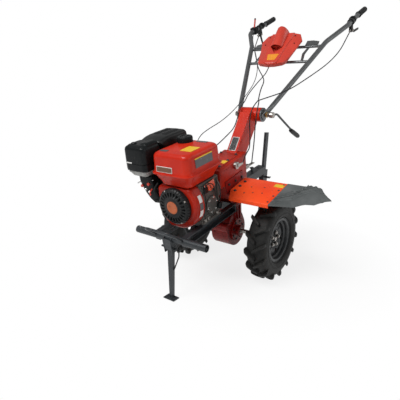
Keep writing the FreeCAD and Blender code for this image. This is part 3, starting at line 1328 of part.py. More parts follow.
def make_handlebar(label, side):
    """One bent handlebar tube with the clamp disc at its foot, drilled for the tilt bolt."""
    points = handle_points(side)
    bends = [S.knee_bend, S.elbow_bend, S.elbow_bend * 2]
    shape = tube(points, bends, S.tube_radius, S.tube_wall)
    axis = Vector(0, float(S.pivot_back), float(S.pivot_up))
    outward = Vector(side, 0, 0)
    inner = float(S.drum_half_length + S.joint_gap)
    outer = inner + float(S.clamp_thickness)
    reach = float(S.pivot_up)
    inside = Part.makeCylinder(reach, outer * 2, axis - outward * outer, outward)
    disc = Part.makeCylinder(float(S.drum_radius), outer - inner, axis + outward * inner, outward)
    bolt = Part.makeCylinder(float(S.tilt_bolt_radius), float(S.crank_out), axis, outward)
    spot_face = Part.makeCylinder(float(S.bolt_head_radius), reach, axis + outward * float(bolt_head_face()), outward)
    keep_fixed(shape.cut(inside).fuse(disc).cut(bolt).cut(spot_face), label)


def make_grip(label, side):
    """Rubber grip over the end of a handlebar tube."""
    start, end = [Vector(*[float(value) for value in point]) for point in handle_points(side)[3:]]
    direction = (end - start).normalize()
    first = end - direction * float(S.grip_length)
    sleeve = Part.makeCylinder(float(S.grip_radius), float(S.grip_length + S.grip_cap), first, direction)
    bore = Part.makeCylinder(float(S.tube_radius), float(S.grip_length), first, direction)
    keep_fixed(sleeve.cut(bore), label)


def crossbar(share):
    """Crossbar between the two handlebar tubes, shaped to fit them."""
    right = along_tube(-1, share)
    left = along_tube(1, share)
    bar = rod(right, left, S.crossbar_radius)
    for side in (1, -1):
        foot, knee = handle_points(side)[:2]
        bar = bar.cut(rod(foot, knee, S.tube_radius))
    return sorted(bar.Solids, key=lambda item: item.Volume)[-1]


def cover_slope():
    """Lean of the console cover's underside from the machine's level, in degrees."""
    rise = S.console_up - S.cover_tip_up
    reach = S.console_back - S.cover_tip_back
    number = math.degrees(math.atan2(rise.number, reach.number))
    return Size(number, f"(atan2({rise.formula}; {reach.formula}) / 1deg)")


def console_face(shrink):
    """Outline of the console cover along its slope, drawn in by shrink."""
    half = S.console_half_width - shrink
    end = S.console_length - shrink
    shoulder = S.console_length * 0.66
    flank = S.console_length * 0.26
    return [(0, shrink * 1.6), (half * 0.7, flank + shrink / 2), (half, shoulder), (half * 0.9, end),
            (-half * 0.9, end), (-half, shoulder), (-half * 0.7, flank + shrink / 2)]


def hood_arch(body, half, rise, slope_place):
    """Half-round section of the hood across the console's slope."""
    points = []
    for angle in range(0, 181, 20):
        points.append((half * cosine(angle), S.console_thickness - S.console_bevel + rise * sine(angle)))
    return draw_outline(body, "XZ_Plane", points, -slope_place)


def make_console():
    """Faceted plastic cover between the handlebar tubes, with a hood over its middle."""
    body = new_body("console_cover")
    bevel = S.console_bevel
    top = S.console_thickness
    levels = [(bevel / 4, as_size(0)), (as_size(0), top - bevel), (bevel, top)]
    loft(body, [draw_outline(body, "XY_Plane", console_face(shrink), up) for shrink, up in levels])
    recess = [(0, S.recess_start), (S.hood_mouth_half, S.hood_start + bevel), (-S.hood_mouth_half, S.hood_start + bevel)]
    pocket(body, draw_outline(body, "XY_Plane", recess, top), S.recess_depth, symmetric=False)
    rise = S.hood_rise + bevel
    loft(body, [hood_arch(body, S.hood_mouth_half, rise, S.hood_start),
                hood_arch(body, S.hood_mouth_half, rise * 1.06, S.hood_start + bevel),
                hood_arch(body, S.hood_end_half, bevel, S.hood_end)])
    keep(body, "console_cover", back=S.cover_tip_back, up=S.cover_tip_up, lean=S.park_tilt + cover_slope())


def make_console_frame():
    """Two crossbars with the upright plates between them that carry the console cover."""
    lower = along_tube(1, S.lower_bar_share)
    upper = along_tube(1, S.upper_bar_share)
    tangent = math.tan(math.radians(cover_slope().number))
    corners = []
    for point in (lower, upper):
        corners.append((float(point[1]), float(point[2])))
    for point in (upper, lower):
        back = float(point[1])
        corners.append((back, float(S.cover_tip_up) + (back - float(S.cover_tip_back)) * tangent))
    set_in = float(S.console_thickness) / 2
    corners[2] = (corners[2][0] - set_in, corners[2][1] - set_in * tangent)
    shape = crossbar(S.lower_bar_share).fuse(crossbar(S.upper_bar_share))
    for side in (1, -1):
        out = float(S.bracket_out) * side
        outline = [Vector(out, back, up) for back, up in corners]
        face = Part.Face(Part.makePolygon(outline + outline[:1]))
        shape = shape.fuse(face.extrude(Vector(float(S.bracket_sheet), 0, 0)))
    keep_fixed(shape, "console_frame")


# ---------------------------------------------------------------- hand controls

def grip_run(side):
    """Start and direction of the straight run of tube from the bend under the grips."""
    elbow, grip = [Vector(*[float(value) for value in point]) for point in handle_points(side)[2:4]]
    return elbow, (grip - elbow).normalize()


def on_grip_run(shape, side, along):
    """Move a shape built about the Y axis onto the straight run, with its own Z kept upright."""
    start, direction = grip_run(side)
    across = direction.cross(Vector(0, 0, 1)).normalize()
    upright = across.cross(direction)
    turn = FreeCAD.Rotation(across, direction, upright, "XYZ")
    moved = shape.copy()
    spot = FreeCAD.Placement(start + direction * float(along), turn)
    moved.transformShape(spot.toMatrix(), True)
    return moved


def make_throttle_block():
    """Throttle block on the right tube with its slim lever."""
    half = float(S.block_half)
    length = float(S.block_length)
    shape = Part.makeBox(2 * half, length, 2 * half, Vector(-half, 0, -half))
    shape = shape.makeFillet(half / 3, shape.Edges)
    lever = Part.makeCylinder(float(S.throttle_lever_radius), float(S.throttle_lever_length),
                              Vector(0, length / 2, half / 2), Vector(0, 0.5, 1))
    knob = Part.makeSphere(float(S.throttle_lever_radius) * 1.7,
                           Vector(0, length / 2, half / 2) + Vector(0, 0.5, 1).normalize()
                           * float(S.throttle_lever_length))
    bore = Part.makeCylinder(float(S.tube_radius), length, Vector(0, 0, 0), Vector(0, 1, 0))
    shape = shape.fuse(lever).fuse(knob).cut(bore)
    keep_fixed(on_grip_run(shape, -1, S.control_start), "throttle_block")


def lever_perch():
    """Clamp round the tube with the block that a hand lever pivots in, built about the Y axis."""
    length = float(S.perch_length)
    depth = float(S.perch_depth)
    half = float(S.perch_thickness) / 2
    drop = float(S.perch_drop)
    ring = Part.makeCylinder(float(S.perch_radius), length, Vector(0, 0, 0), Vector(0, 1, 0))
    cheek = Part.makeBox(2 * half, depth, drop, Vector(-half, (length - depth) / 2, -drop))
    bore = Part.makeCylinder(float(S.tube_radius), length + 2 * depth, Vector(0, -depth, 0), Vector(0, 1, 0))
    return ring.fuse(cheek).cut(bore)


def make_hand_lever(label, side, along, fall):
    """Hand lever with its perch: a flat blade that falls towards its tip."""
    half = float(S.lever_sheet) / 2
    width = float(S.lever_width)
    tip = float(S.lever_tip_width)
    length = float(S.lever_length)
    belly = length * 0.4
    outline = [Vector(-half, 0, -width / 2), Vector(-half, belly, -width), Vector(-half, length, -tip / 2),
               Vector(-half, length, tip / 2), Vector(-half, belly, -width / 8), Vector(-half, 0, width / 2)]
    blade = Part.Face(Part.makePolygon(outline + outline[:1])).extrude(Vector(2 * half, 0, 0))
    blade.rotate(Vector(0, 0, 0), Vector(1, 0, 0), -float(fall))
    blade.translate(Vector(0, float(S.perch_length) / 2, width / 2 - float(S.perch_drop)))
    keep_fixed(on_grip_run(lever_perch().fuse(blade), side, along), label)


# ---------------------------------------------------------------- control cables

def make_cable(label, points, radius):
    """One stretch of a control cable: straight runs joined by arcs as large as the runs allow."""
    corners = [Vector(*[float(value) for value in point]) for point in points]
    bends = []
    for before, corner, after in zip(corners, corners[1:], corners[2:]):
        turn = (corner - before).getAngle(after - corner)
        shorter = min((corner - before).Length, (after - corner).Length)
        bends.append(0.45 * shorter / math.tan(turn / 2))
    shape = sweep(corners, bends, radius)
    length = path_wire(corners, bends).Length
    section = math.pi * float(radius) ** 2
    print(f"{label}: {length:.0f} mm long, {shape.Volume / (section * length):.3f} of its section times length,"
          f" radii {[round(bend) for bend in bends]}")
    keep_fixed(shape, label)


def make_cables():
    """Clutch and reverse cables and the throttle wire, each parted near the tilt axis.

    The points are chosen by hand along the real routes, in the machine's own frame.
    """
    clutch = [(320, 925, 926), (312, 888, 890), (294, 838, 826), (256, 755, 766), (208, 610, 716),
              (158, 440, 668), (100, 345, 652), (62, 285, 642)]
    clutch_end = [(54, 279, 640), (48, 222, 606), (47, 196, 548), (48, 196, 474), (60, 168, 428), (82, 120, 420),
                  (88.5, 74, 408), (88.5, 42.2, 374.2)]
    reverse = [(-316, 995, 942), (-312, 950, 900), (-292, 880, 860), (-232, 790, 822), (-150, 665, 762),
               (-60, 560, 724), (16, 430, 716), (58, 310, 694), (70, 258, 648)]
    reverse_end = [(77.5, 254, 643), (80, 218, 590), (79, 196, 510), (74, 188, 430), (60, 190, 360), (54, 190, 320.5)]
    throttle = [(-320, 924, 952), (-308, 890, 922), (-268, 830, 886), (-196, 730, 834), (-120, 610, 766),
                (-72, 480, 704), (-60, 350, 652), (-60, 306, 632)]
    throttle_end = [(-60, 299, 628), (-60, 240, 606), (-58, 160, 583), (-56, 70, 566), (-55, -30, 557),
                    (-55, -108, 542), (-57, -144, 500), (-59, -152, 440), (-60, -160, 392), (-60, -192, 376)]
    stop = [(-16, 559, 787.6), (-22, 532, 752), (-28, 496, 733), (-38, 420, 696), (-46, 352, 658), (-47, 322, 632)]
    stop_end = [(-47, 317, 628), (-48, 266, 602), (-47, 236, 560), (-45, 188, 508), (-43, 106, 486),
                (-36, 24, 470), (-32, -60, 458), (-30, -124, 428), (-30, -150, 380), (-30, -192, 368)]
    make_cable("clutch_cable_upper", clutch, S.cable_radius)
    make_cable("clutch_cable_lower", clutch_end, S.cable_radius)
    make_cable("reverse_cable_upper", reverse, S.cable_radius)
    make_cable("reverse_cable_lower", reverse_end, S.cable_radius)
    make_cable("throttle_wire_upper", throttle, S.wire_radius)
    make_cable("throttle_wire_lower", throttle_end, S.wire_radius)
    make_cable("stop_cable_upper", stop, S.cable_radius)
    make_cable("stop_cable_lower", stop_end, S.cable_radius)


# ---------------------------------------------------------------- fenders

def make_fender(label, side):
    """Metal wing over the wheel, with turned-down front and rear edges."""
    body = new_body(label)
    metal = S.fender_sheet
    profile = [(S.fender_inner, 0), (S.fender_seam, 0), (S.fender_seam, -metal), (S.fender_inner, -metal)]
    profile = [(across * side, height) for across, height in profile]
    pad(body, draw_outline(body, "XZ_Plane", profile, -S.fender_rear), S.fender_rear + S.fender_front)
    edges = sorted((S.fender_inner * side, S.fender_seam * side), key=float)
    block(body, edges[0], edges[1], -S.fender_front, -S.fender_front + metal, -S.fender_skirt, 0)
    block(body, edges[0], edges[1], S.fender_rear - metal, S.fender_rear, -S.fender_skirt, 0)
    keep(body, label, up=S.fender_up, lean=S.park_tilt + S.fender_pitch)


def flap_profile(side, rise):
    """Cross-section of the rubber flap: level at the seam, drooping, its rim turned down."""
    reach = S.fender_outer - S.fender_seam
    inner = S.fender_seam
    top = [(inner, rise), (inner + reach * 0.5, rise - S.flap_droop * 0.2), (inner + reach * 0.8, rise
           - S.flap_droop * 0.6), (S.fender_outer - S.flap_sheet * 2, rise - S.flap_droop),
           (S.fender_outer, -S.flap_droop - S.flap_rim)]
    under = [(S.fender_outer - S.flap_sheet, -S.flap_droop - S.flap_rim),
             (S.fender_outer - S.flap_sheet * 3, -S.flap_droop - S.flap_sheet),
             (inner + reach * 0.8, -S.flap_droop * 0.6 - S.flap_sheet),
             (inner + reach * 0.5, -S.flap_droop * 0.2 - S.flap_sheet), (inner, -S.flap_sheet)]
    return [(across * side, height) for across, height in top + under]


def make_flap(label, side):
    """Rubber flap that carries the wing on over the tyre's outer edge, ribbed along front and rear."""
    body = new_body(label)
    length = S.fender_rear + S.fender_front
    pad(body, draw_outline(body, "XZ_Plane", flap_profile(side, 0), -S.fender_rear), length)
    width = S.flap_rib_width
    for index in range(3):
        step = S.flap_rib_pitch * index
        for start in (S.fender_front - width - step, step - S.fender_rear):
            pad(body, draw_outline(body, "XZ_Plane", flap_profile(side, S.flap_rib), start), width)
    keep(body, label, up=S.fender_up, lean=S.park_tilt + S.fender_pitch)


def make_fender_bracket(label, side):
    """Angle that bolts to the gearbox side and carries the fender's inner edge."""
    body = new_body(label)
    inner = S.case_half_width
    sheet_size = S.bracket_angle
    upright = [(inner, -S.fender_sheet - sheet_size), (inner, S.angle_height),
               (inner + sheet_size, S.angle_height), (inner + sheet_size, -S.fender_sheet),
               (inner + S.angle_reach, -S.fender_sheet), (inner + S.angle_reach, -S.fender_sheet - sheet_size)]
    upright = [(across * side, height) for across, height in upright]
    sketch = draw_outline(body, "XZ_Plane", upright, -S.angle_rear)
    pad(body, sketch, S.angle_rear + S.angle_front)
    keep(body, label, up=S.fender_up, lean=S.park_tilt + S.fender_pitch)


# ---------------------------------------------------------------- hitch and stake

def socket_face(up):
    """How far behind the axle the socket's front face lies at a height."""
    depth = S.stake_depth / 2 + S.joint_gap + S.socket_wall
    tangent = sine(S.stake_lean) / cosine(S.stake_lean)
    drop = up - S.stake_up - depth * sine(S.stake_lean)
    return S.stake_back - depth * cosine(S.stake_lean) + tangent * drop


def make_hitch():
    """Drawbar from the neck to the stake's socket, with its own pin and a hole for a hitch pin."""
    body = new_body("hitch_drawbar")
    front = S.neck_rear
    side = [(front, S.hitch_bar_base), (front, S.hitch_bar_top), (socket_face(S.hitch_bar_top), S.hitch_bar_top),
            (socket_face(S.hitch_bar_base), S.hitch_bar_base)]
    pad(body, draw_outline(body, "YZ_Plane", side), S.hitch_bar_half_width * 2, symmetric=True)
    pocket(body, draw_circle(body, "XY_Plane", 0, S.hitch_hole_back, S.hitch_hole_radius))
    low = S.hitch_bar_base - S.pin_stand
    top = S.hitch_bar_top + S.pin_stand
    pad(body, draw_circle(body, "XY_Plane", 0, S.pin_back, S.pin_radius, low), top - low)
    pad(body, draw_circle(body, "XY_Plane", 0, S.pin_back, S.pin_head_radius, top), S.pin_head_height)
    keep(body, "hitch_drawbar")


def make_socket():
    """Socket that holds the drag stake, leaning with it, and its clamp screw with a crossbar."""
    body = new_body("stake_socket")
    wall = S.socket_wall
    half = S.stake_half_width + S.joint_gap
    depth = S.stake_depth / 2 + S.joint_gap
    block(body, -half - wall, half + wall, -depth - wall, depth + wall, -S.socket_above - S.socket_length,
          -S.socket_above)
    hole = [(-half, -depth), (half, -depth), (half, depth), (-half, depth)]
    pocket(body, draw_outline(body, "XY_Plane", hole))
    face = half + wall
    level = -S.socket_above - S.socket_length / 2
    pad(body, draw_circle(body, "YZ_Plane", 0, level, S.screw_radius, face), S.screw_reach)
    bar = draw_circle(body, "XZ_Plane", face + S.screw_reach - S.screw_radius, level, S.screw_bar_radius)
    pad(body, bar, S.screw_bar_half * 2, symmetric=True)
    keep(body, "stake_socket", back=S.stake_back, up=S.stake_up, lean=S.park_tilt - S.stake_lean)



def make_stake():
    """Drag stake that slides in its socket, with a row of holes."""
    body = new_body("drag_stake")
    half = S.stake_half_width
    depth = S.stake_depth / 2
    block(body, -half, half, -depth, depth, -S.stake_below, S.stake_above)
    hole = pocket(body, draw_circle(body, "YZ_Plane", 0, S.stake_hole_first - S.stake_below, S.stake_hole_radius))
    row(body, [hole], S.stake_hole_pitch * (S.stake_hole_count - 1), S.stake_hole_count, "Z_Axis")
    keep(body, "drag_stake", back=S.stake_back, up=S.stake_up, lean=S.park_tilt - S.stake_lean)


for name, side in (("left", 1), ("right", -1)):
    make_tyre(f"tyre_{name}", side)
    make_rim(f"rim_{name}", side)
    make_hub(f"wheel_hub_{name}", side)
    make_handlebar(f"handlebar_{name}", side)
    make_grip(f"grip_{name}", side)
    make_fender(f"fender_{name}", side)
    make_fender_bracket(f"fender_bracket_{name}", side)
    make_flap(f"fender_flap_{name}", side)

make_axle()
make_final_drive()
make_gearbox()
make_clutch_arm()
make_shift_arm()
make_clutch_housing()
make_crankcase()
make_cylinder()
make_shroud()
make_starter()
make_tank()
make_cap()
make_air_cleaner()
make_cleaner_tray()
make_carburettor()
make_muffler()
make_heat_guard()
make_frame()
make_bumper()
make_hoop()
make_stand_bracket()
make_stand_leg()
make_stand_rod()
make_column()
make_tilt_bolt()
make_crank()
make_console()
make_console_frame()
make_throttle_block()
make_hand_lever("hand_lever_left", 1, S.control_start, S.left_lever_fall)
make_hand_lever("hand_lever_right", -1, S.right_perch_start, S.right_lever_fall)
make_cables()
make_hitch()
make_socket()
make_stake()

doc.recompute()


# ---------------------------------------------------------------- checking and writing

def check_document():
    """Stop if any object failed or any sub-part is not one valid solid."""
    for item in doc.Objects:
        if "Invalid" in item.State or "Error" in item.State:
            raise RuntimeError(f"{item.Label} did not compute: {item.State}")
    for item in subparts:
        shape = item.Shape
        if shape.isNull() or not shape.isValid() or not shape.Solids:
            raise RuntimeError(f"{item.Label} has no valid shape")
        print(f"{item.Label}: {len(shape.Solids)} solid, {shape.Volume / 1000:.0f} cm3")


check_document()
os.makedirs("parts", exist_ok=True)
for item in subparts:
    item.Shape.exportStep(f"parts/{item.Label}.step")
total = Part.makeCompound([item.Shape for item in subparts])
print(total.BoundBox)
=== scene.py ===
# %% [markdown]
# # A power weeder, dressed over its working model
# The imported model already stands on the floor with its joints. This lesson gives it surfaces:
# enamel, castings, rubber and zinc, the round forms that sheet metal and mouldings have, and the
# small fasteners and labels. Every new piece is a surface worked out with numpy and put on the
# body that it moves with, so the machine can still be posed.
# %% Load the model
import json
import math

import bmesh
import bpy
import numpy as np
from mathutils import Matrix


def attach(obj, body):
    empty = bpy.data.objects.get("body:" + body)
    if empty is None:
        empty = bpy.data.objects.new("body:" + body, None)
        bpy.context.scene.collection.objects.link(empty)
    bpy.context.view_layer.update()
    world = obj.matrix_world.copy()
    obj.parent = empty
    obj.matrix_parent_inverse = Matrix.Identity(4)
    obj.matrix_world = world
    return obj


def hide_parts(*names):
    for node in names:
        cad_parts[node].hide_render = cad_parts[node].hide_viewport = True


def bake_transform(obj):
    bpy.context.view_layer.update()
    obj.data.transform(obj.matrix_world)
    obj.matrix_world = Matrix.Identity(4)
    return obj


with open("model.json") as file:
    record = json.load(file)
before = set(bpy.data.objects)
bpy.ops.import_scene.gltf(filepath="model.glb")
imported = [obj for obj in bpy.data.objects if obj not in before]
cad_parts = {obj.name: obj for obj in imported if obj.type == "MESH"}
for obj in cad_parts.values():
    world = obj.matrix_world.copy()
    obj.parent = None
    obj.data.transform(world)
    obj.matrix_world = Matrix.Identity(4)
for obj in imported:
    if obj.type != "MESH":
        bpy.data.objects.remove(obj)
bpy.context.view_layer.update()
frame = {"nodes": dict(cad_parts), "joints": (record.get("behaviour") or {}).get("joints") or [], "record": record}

# %% [markdown]
# ## The machine's own directions
# The weeder is parked nose-down on its front stand, so nothing on it is level. Points are easier
# to think of as left, back and up on the machine itself, with the axle as the origin. The axle is
# the wheels' joint, and the hitch hole is drilled straight up through the machine, so its axis is
# the machine's own up.
# %% Machine frame
joints = {joint["name"]: joint for joint in frame["joints"]}
mounts = {mount["name"]: mount for mount in frame["record"]["mounts"]}
axle = np.array(joints["wheel_spin"]["pos_m"], float)
own_up = np.array(mounts["hitch_hole"]["axis"], float)
own_left = np.array([1.0, 0.0, 0.0])
own_axes = np.array([own_left, np.cross(own_up, own_left), own_up])


def on_floor(points):
    """Machine points (left, back, up) as places in the scene: the axle plus their share of each axis."""
    return axle + np.asarray(points, float) @ own_axes


def on_machine(points):
    """Places in the scene as machine points: the reverse turn about the axle."""
    return (np.asarray(points, float) - axle) @ own_axes.T


def own_box(node):
    """Lowest and highest (left, back, up) of a node, measured along the machine's own axes."""
    mesh = frame["nodes"][node].data
    places = np.empty(len(mesh.vertices) * 3, np.float32)
    mesh.vertices.foreach_get("co", places)
    points = on_machine(places.reshape(-1, 3))
    return points.min(0), points.max(0)


print("axle at", axle.round(4), "up", own_up.round(4))

# %% [markdown]
# ## Surfaces from arrays
# A grid of points is a surface once its neighbours are joined by quads. Rows run along the piece
# and columns run round it. Closing the columns makes a tube, and a cap on each end makes it
# closed. The face list is worked out as whole arrays of indices.
# %% Grids to meshes
def grid_faces(rows, columns):
    """Quads between neighbours: index = row * columns + column, with the last column joined to the first."""
    row, column = np.meshgrid(np.arange(rows - 1), np.arange(columns), indexing="ij")
    after = (column + 1) % columns
    corners = [row * columns + column, row * columns + after, (row + 1) * columns + after,
               (row + 1) * columns + column]
    return np.stack(corners, -1).reshape(-1, 4)


def add_piece(name, points, faces, body, finish, replaces=(), sharp=35.0):
    """Mesh with outward normals and a finish by name, on a body, or on none."""
    mesh = bpy.data.meshes.new(name)
    mesh.from_pydata(on_floor(points).tolist(), [], [list(face) for face in faces])
    shell = bmesh.new()
    shell.from_mesh(mesh)
    bmesh.ops.recalc_face_normals(shell, faces=shell.faces)
    shell.to_mesh(mesh)
    shell.free()
    mesh.shade_smooth()
    mesh.set_sharp_from_angle(angle=math.radians(sharp))
    piece = bpy.data.objects.new(name, mesh)
    bpy.context.scene.collection.objects.link(piece)
    mesh.materials.append(finishes[finish])
    if body is not None:
        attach(piece, body)
    if replaces:
        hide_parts(*replaces)
    return piece


def add_tube(name, grid, body, finish, **more):
    """Close a grid (stations, round, 3) with a flat face at each end."""
    stations, count = grid.shape[:2]
    faces = grid_faces(stations, count).tolist()
    faces.append(list(range(count)))
    faces.append(list(range((stations - 1) * count, stations * count)))
    return add_piece(name, grid.reshape(-1, 3), faces, body, finish, **more)


def add_rings(name, grid, body, finish, **more):
    """Close a grid both ways, so that the last station meets the first, as on a tyre."""
    stations, count = grid.shape[:2]
    faces = grid_faces(stations + 1, count) % (stations * count)
    return add_piece(name, grid.reshape(-1, 3), faces.tolist(), body, finish, **more)


def add_copies(name, grid, places, outward, body, finish, **more):
    """Repeat a small tube grid at many places: its own Z points outward, and each copy gets its two ends."""
    outward = np.asarray(outward, float) / np.linalg.norm(outward)
    side = np.cross(outward, [0.0, 0.0, 1.0] if abs(outward[2]) < 0.9 else [0.0, 1.0, 0.0])
    side /= np.linalg.norm(side)
    facing = grid @ np.array([side, np.cross(outward, side), outward])
    points = np.asarray(places, float)[:, None, None, :] + facing[None]
    stations, count = grid.shape[:2]
    one = grid_faces(stations, count)
    starts = np.arange(len(places)) * stations * count
    faces = (one[None] + starts[:, None, None]).reshape(-1, 4).tolist()
    faces += [list(range(start, start + count)) for start in starts]
    faces += [list(range(start + (stations - 1) * count, start + stations * count)) for start in starts]
    return add_piece(name, points.reshape(-1, 3), faces, body, finish, **more)


print("a grid of 3 rows and 8 columns has", len(grid_faces(3, 8)), "quads")

# %% [markdown]
# ## Profiles and paths
# Most pieces here are one of three things: an outline that changes with height (tank, air
# cleaner), a section turned about an axis (tyre, starter), or a section carried along a bent
# path (tubes and cables). Each has its own short function.
# %% Outlines, turned shapes and bent paths
def round_rectangle(low, high, radius, corner_steps=10):
    """Rectangle with round corners: each corner's centre plus radius times cosine and sine."""
    low, high = np.asarray(low, float), np.asarray(high, float)
    centres = np.array([[high[0], high[1]], [low[0], high[1]], [low[0], low[1]], [high[0], low[1]]])
    centres += radius * np.array([[-1, -1], [1, -1], [1, 1], [-1, 1]])
    turn = np.linspace(0, math.pi / 2, corner_steps)[None] + math.pi / 2 * np.arange(4)[:, None]
    return (centres[:, None] + radius * np.stack([np.cos(turn), np.sin(turn)], -1)).reshape(-1, 2)


def stacked(low, high, levels, radius, corner_steps=10):
    """Round rectangles at several heights: each level is (inset, up), and the outline shrinks by inset."""
    low, high = np.asarray(low[:2], float), np.asarray(high[:2], float)
    rings = []
    for inset, up in levels:
        outline = round_rectangle(low + inset, high - inset, max(radius - 0.35 * inset, 0.003), corner_steps)
        rings.append(np.column_stack([outline, np.full(len(outline), up)]))
    return np.array(rings)


def turned(profile, centre, axis="x", steps=64):
    """Turn (along, radius) pairs about an axis: the other two are radius times cosine and sine."""
    profile = np.asarray(profile, float)
    angle = np.linspace(0, 2 * math.pi, steps, endpoint=False)
    along = np.broadcast_to(profile[:, None, 0], (len(profile), steps))
    first = profile[:, None, 1] * np.cos(angle)
    second = profile[:, None, 1] * np.sin(angle)
    order = {"x": (along, first, second), "y": (second, along, first), "z": (first, second, along)}[axis]
    return np.asarray(centre, float) + np.stack(order, -1)


def unit(vectors):
    """Vectors divided by their own length."""
    return vectors / np.linalg.norm(vectors, axis=-1, keepdims=True)


def bent_path(corners, radii, steps=9):
    """Straight runs joined by arcs: each arc touches both runs and turns in equal steps about its centre."""
    corners = np.asarray(corners, float)
    parts = [corners[:1]]
    for before, corner, after, radius in zip(corners, corners[1:], corners[2:], radii):
        back, ahead = unit(before - corner), unit(after - corner)
        half = (math.pi - math.acos(np.clip(back @ ahead, -1, 1))) / 2
        first, last = corner + back * radius * math.tan(half), corner + ahead * radius * math.tan(half)
        centre = corner + unit(back + ahead) * radius / math.cos(half)
        share = np.linspace(0, 1, steps)[:, None]
        whole = 2 * half
        arc = np.sin((1 - share) * whole) * (first - centre) + np.sin(share * whole) * (last - centre)
        parts.append(centre + arc / math.sin(whole))
    parts.append(corners[-1:])
    return np.concatenate(parts)


def largest_radii(corners):
    """For each bend 0.45 of its shorter run over the tangent of half the turn."""
    runs = np.diff(np.asarray(corners, float), axis=0)
    length = np.linalg.norm(runs, axis=1)
    cosine = np.sum(unit(runs[:-1]) * unit(runs[1:]), axis=1)
    return 0.45 * np.minimum(length[:-1], length[1:]) / np.tan(np.arccos(np.clip(cosine, -1, 1)) / 2)


def carried(path, section, reference=(0.0, 0.0, 1.0)):
    """Carry a section (n, 2) along a path: each station's two side directions come from its tangent."""
    path = np.asarray(path, float)
    tangent = unit(np.gradient(path, axis=0))
    side = unit(np.cross(tangent, np.asarray(reference, float)))
    upright = np.cross(side, tangent)
    section = np.asarray(section, float)
    if section.ndim == 2:
        section = np.broadcast_to(section, (len(path),) + section.shape)
    return path[:, None] + section[..., :1] * side[:, None] + section[..., 1:] * upright[:, None]


def circle(radius, count=20):
    """Points of a circle as (cosine, sine) pairs."""
    angle = np.linspace(0, 2 * math.pi, count, endpoint=False)
    return radius * np.stack([np.cos(angle), np.sin(angle)], -1)


print("helpers ready")

# %% [markdown]
# ## Finishes
# A finish is one shader with three layers of detail worked out from Object coordinates: a slow
# change of colour over the whole piece, small worn or dusty patches, and a fine bump. Sizes are
# in metres, so a grain is the same size on every piece.
# %% Finish maker
finishes = {}


def add_node(tree, kind, settings=(), **inputs):
    """A shader node with its settings and the values or links of its inputs."""
    node = tree.nodes.new(kind)
    for key, value in dict(settings).items():
        setattr(node, key, value)
    for key, value in inputs.items():
        numbered = key[0] == "i" and key[1:].isdigit()
        socket = node.inputs[int(key[1:]) if numbered else key.replace("_", " ")]
        if isinstance(value, bpy.types.NodeSocket):
            tree.links.new(value, socket)
        else:
            socket.default_value = value
    return node


def noise(tree, place, scale, detail=3.0):
    """Fractal noise of the given grains per metre, about 0 to 1."""
    return add_node(tree, "ShaderNodeTexNoise", Vector=place, Scale=scale, Detail=detail).outputs["Fac"]


def stepped(tree, value, low, high, to_low=0.0, to_high=1.0):
    """Straight ramp: value from low to high becomes to_low to to_high, clamped outside."""
    ramp = add_node(tree, "ShaderNodeMapRange", {"clamp": True}, Value=value)
    ramp.inputs["From Min"].default_value = low
    ramp.inputs["From Max"].default_value = high
    ramp.inputs["To Min"].default_value = to_low
    ramp.inputs["To Max"].default_value = to_high
    return ramp.outputs[0]


def blended(tree, share, first, second):
    """Colour first where share is 0, second where it is 1."""
    mix = tree.nodes.new("ShaderNodeMix")
    mix.data_type = "RGBA"
    for socket, value in ((mix.inputs[0], share), (mix.inputs[6], first), (mix.inputs[7], second)):
        if isinstance(value, bpy.types.NodeSocket):
            tree.links.new(value, socket)
        elif isinstance(value, tuple):
            socket.default_value = (*value, 1.0)
        else:
            socket.default_value = value
    return mix.outputs[2]


def make_finish(name, colour, shade, rough, metal=0.0, patch=None, patch_share=0.0, patch_size=60.0,
                grain=900.0, grain_depth=0.00004, coat=0.0, specular=0.5):
    """Colour drifts from colour to shade; rougher patches have their own colour; grain gives the bump."""
    material = bpy.data.materials.new(name)
    material.use_nodes = True
    tree = material.node_tree
    shader = tree.nodes["Principled BSDF"]
    place = tree.nodes.new("ShaderNodeTexCoord").outputs["Object"]
    drift = stepped(tree, noise(tree, place, 9.0), 0.3, 0.7)
    tone = blended(tree, drift, colour, shade)
    fine = noise(tree, place, grain, 2.0)
    roughness = stepped(tree, fine, 0.3, 0.7, rough[0], rough[1])
    if patch is not None:
        worn = stepped(tree, noise(tree, place, patch_size, 6.0), 0.68 - patch_share, 0.76 - patch_share)
        tone = blended(tree, worn, tone, patch)
        extra = add_node(tree, "ShaderNodeMath", {"operation": "MULTIPLY_ADD"}, i0=worn,
                         i1=0.3, i2=roughness)
        roughness = extra.outputs[0]
    tree.links.new(tone, shader.inputs["Base Color"])
    tree.links.new(roughness, shader.inputs["Roughness"])
    bump = add_node(tree, "ShaderNodeBump", Height=fine, Strength=0.6, Distance=grain_depth * 10)
    tree.links.new(bump.outputs[0], shader.inputs["Normal"])
    shader.inputs["Metallic"].default_value = metal
    shader.inputs["Coat Weight"].default_value = coat
    shader.inputs["Coat Roughness"].default_value = 0.12
    shader.inputs["Specular IOR Level"].default_value = specular
    finishes[name] = material
    return material


print("finishes so far:", len(finishes))
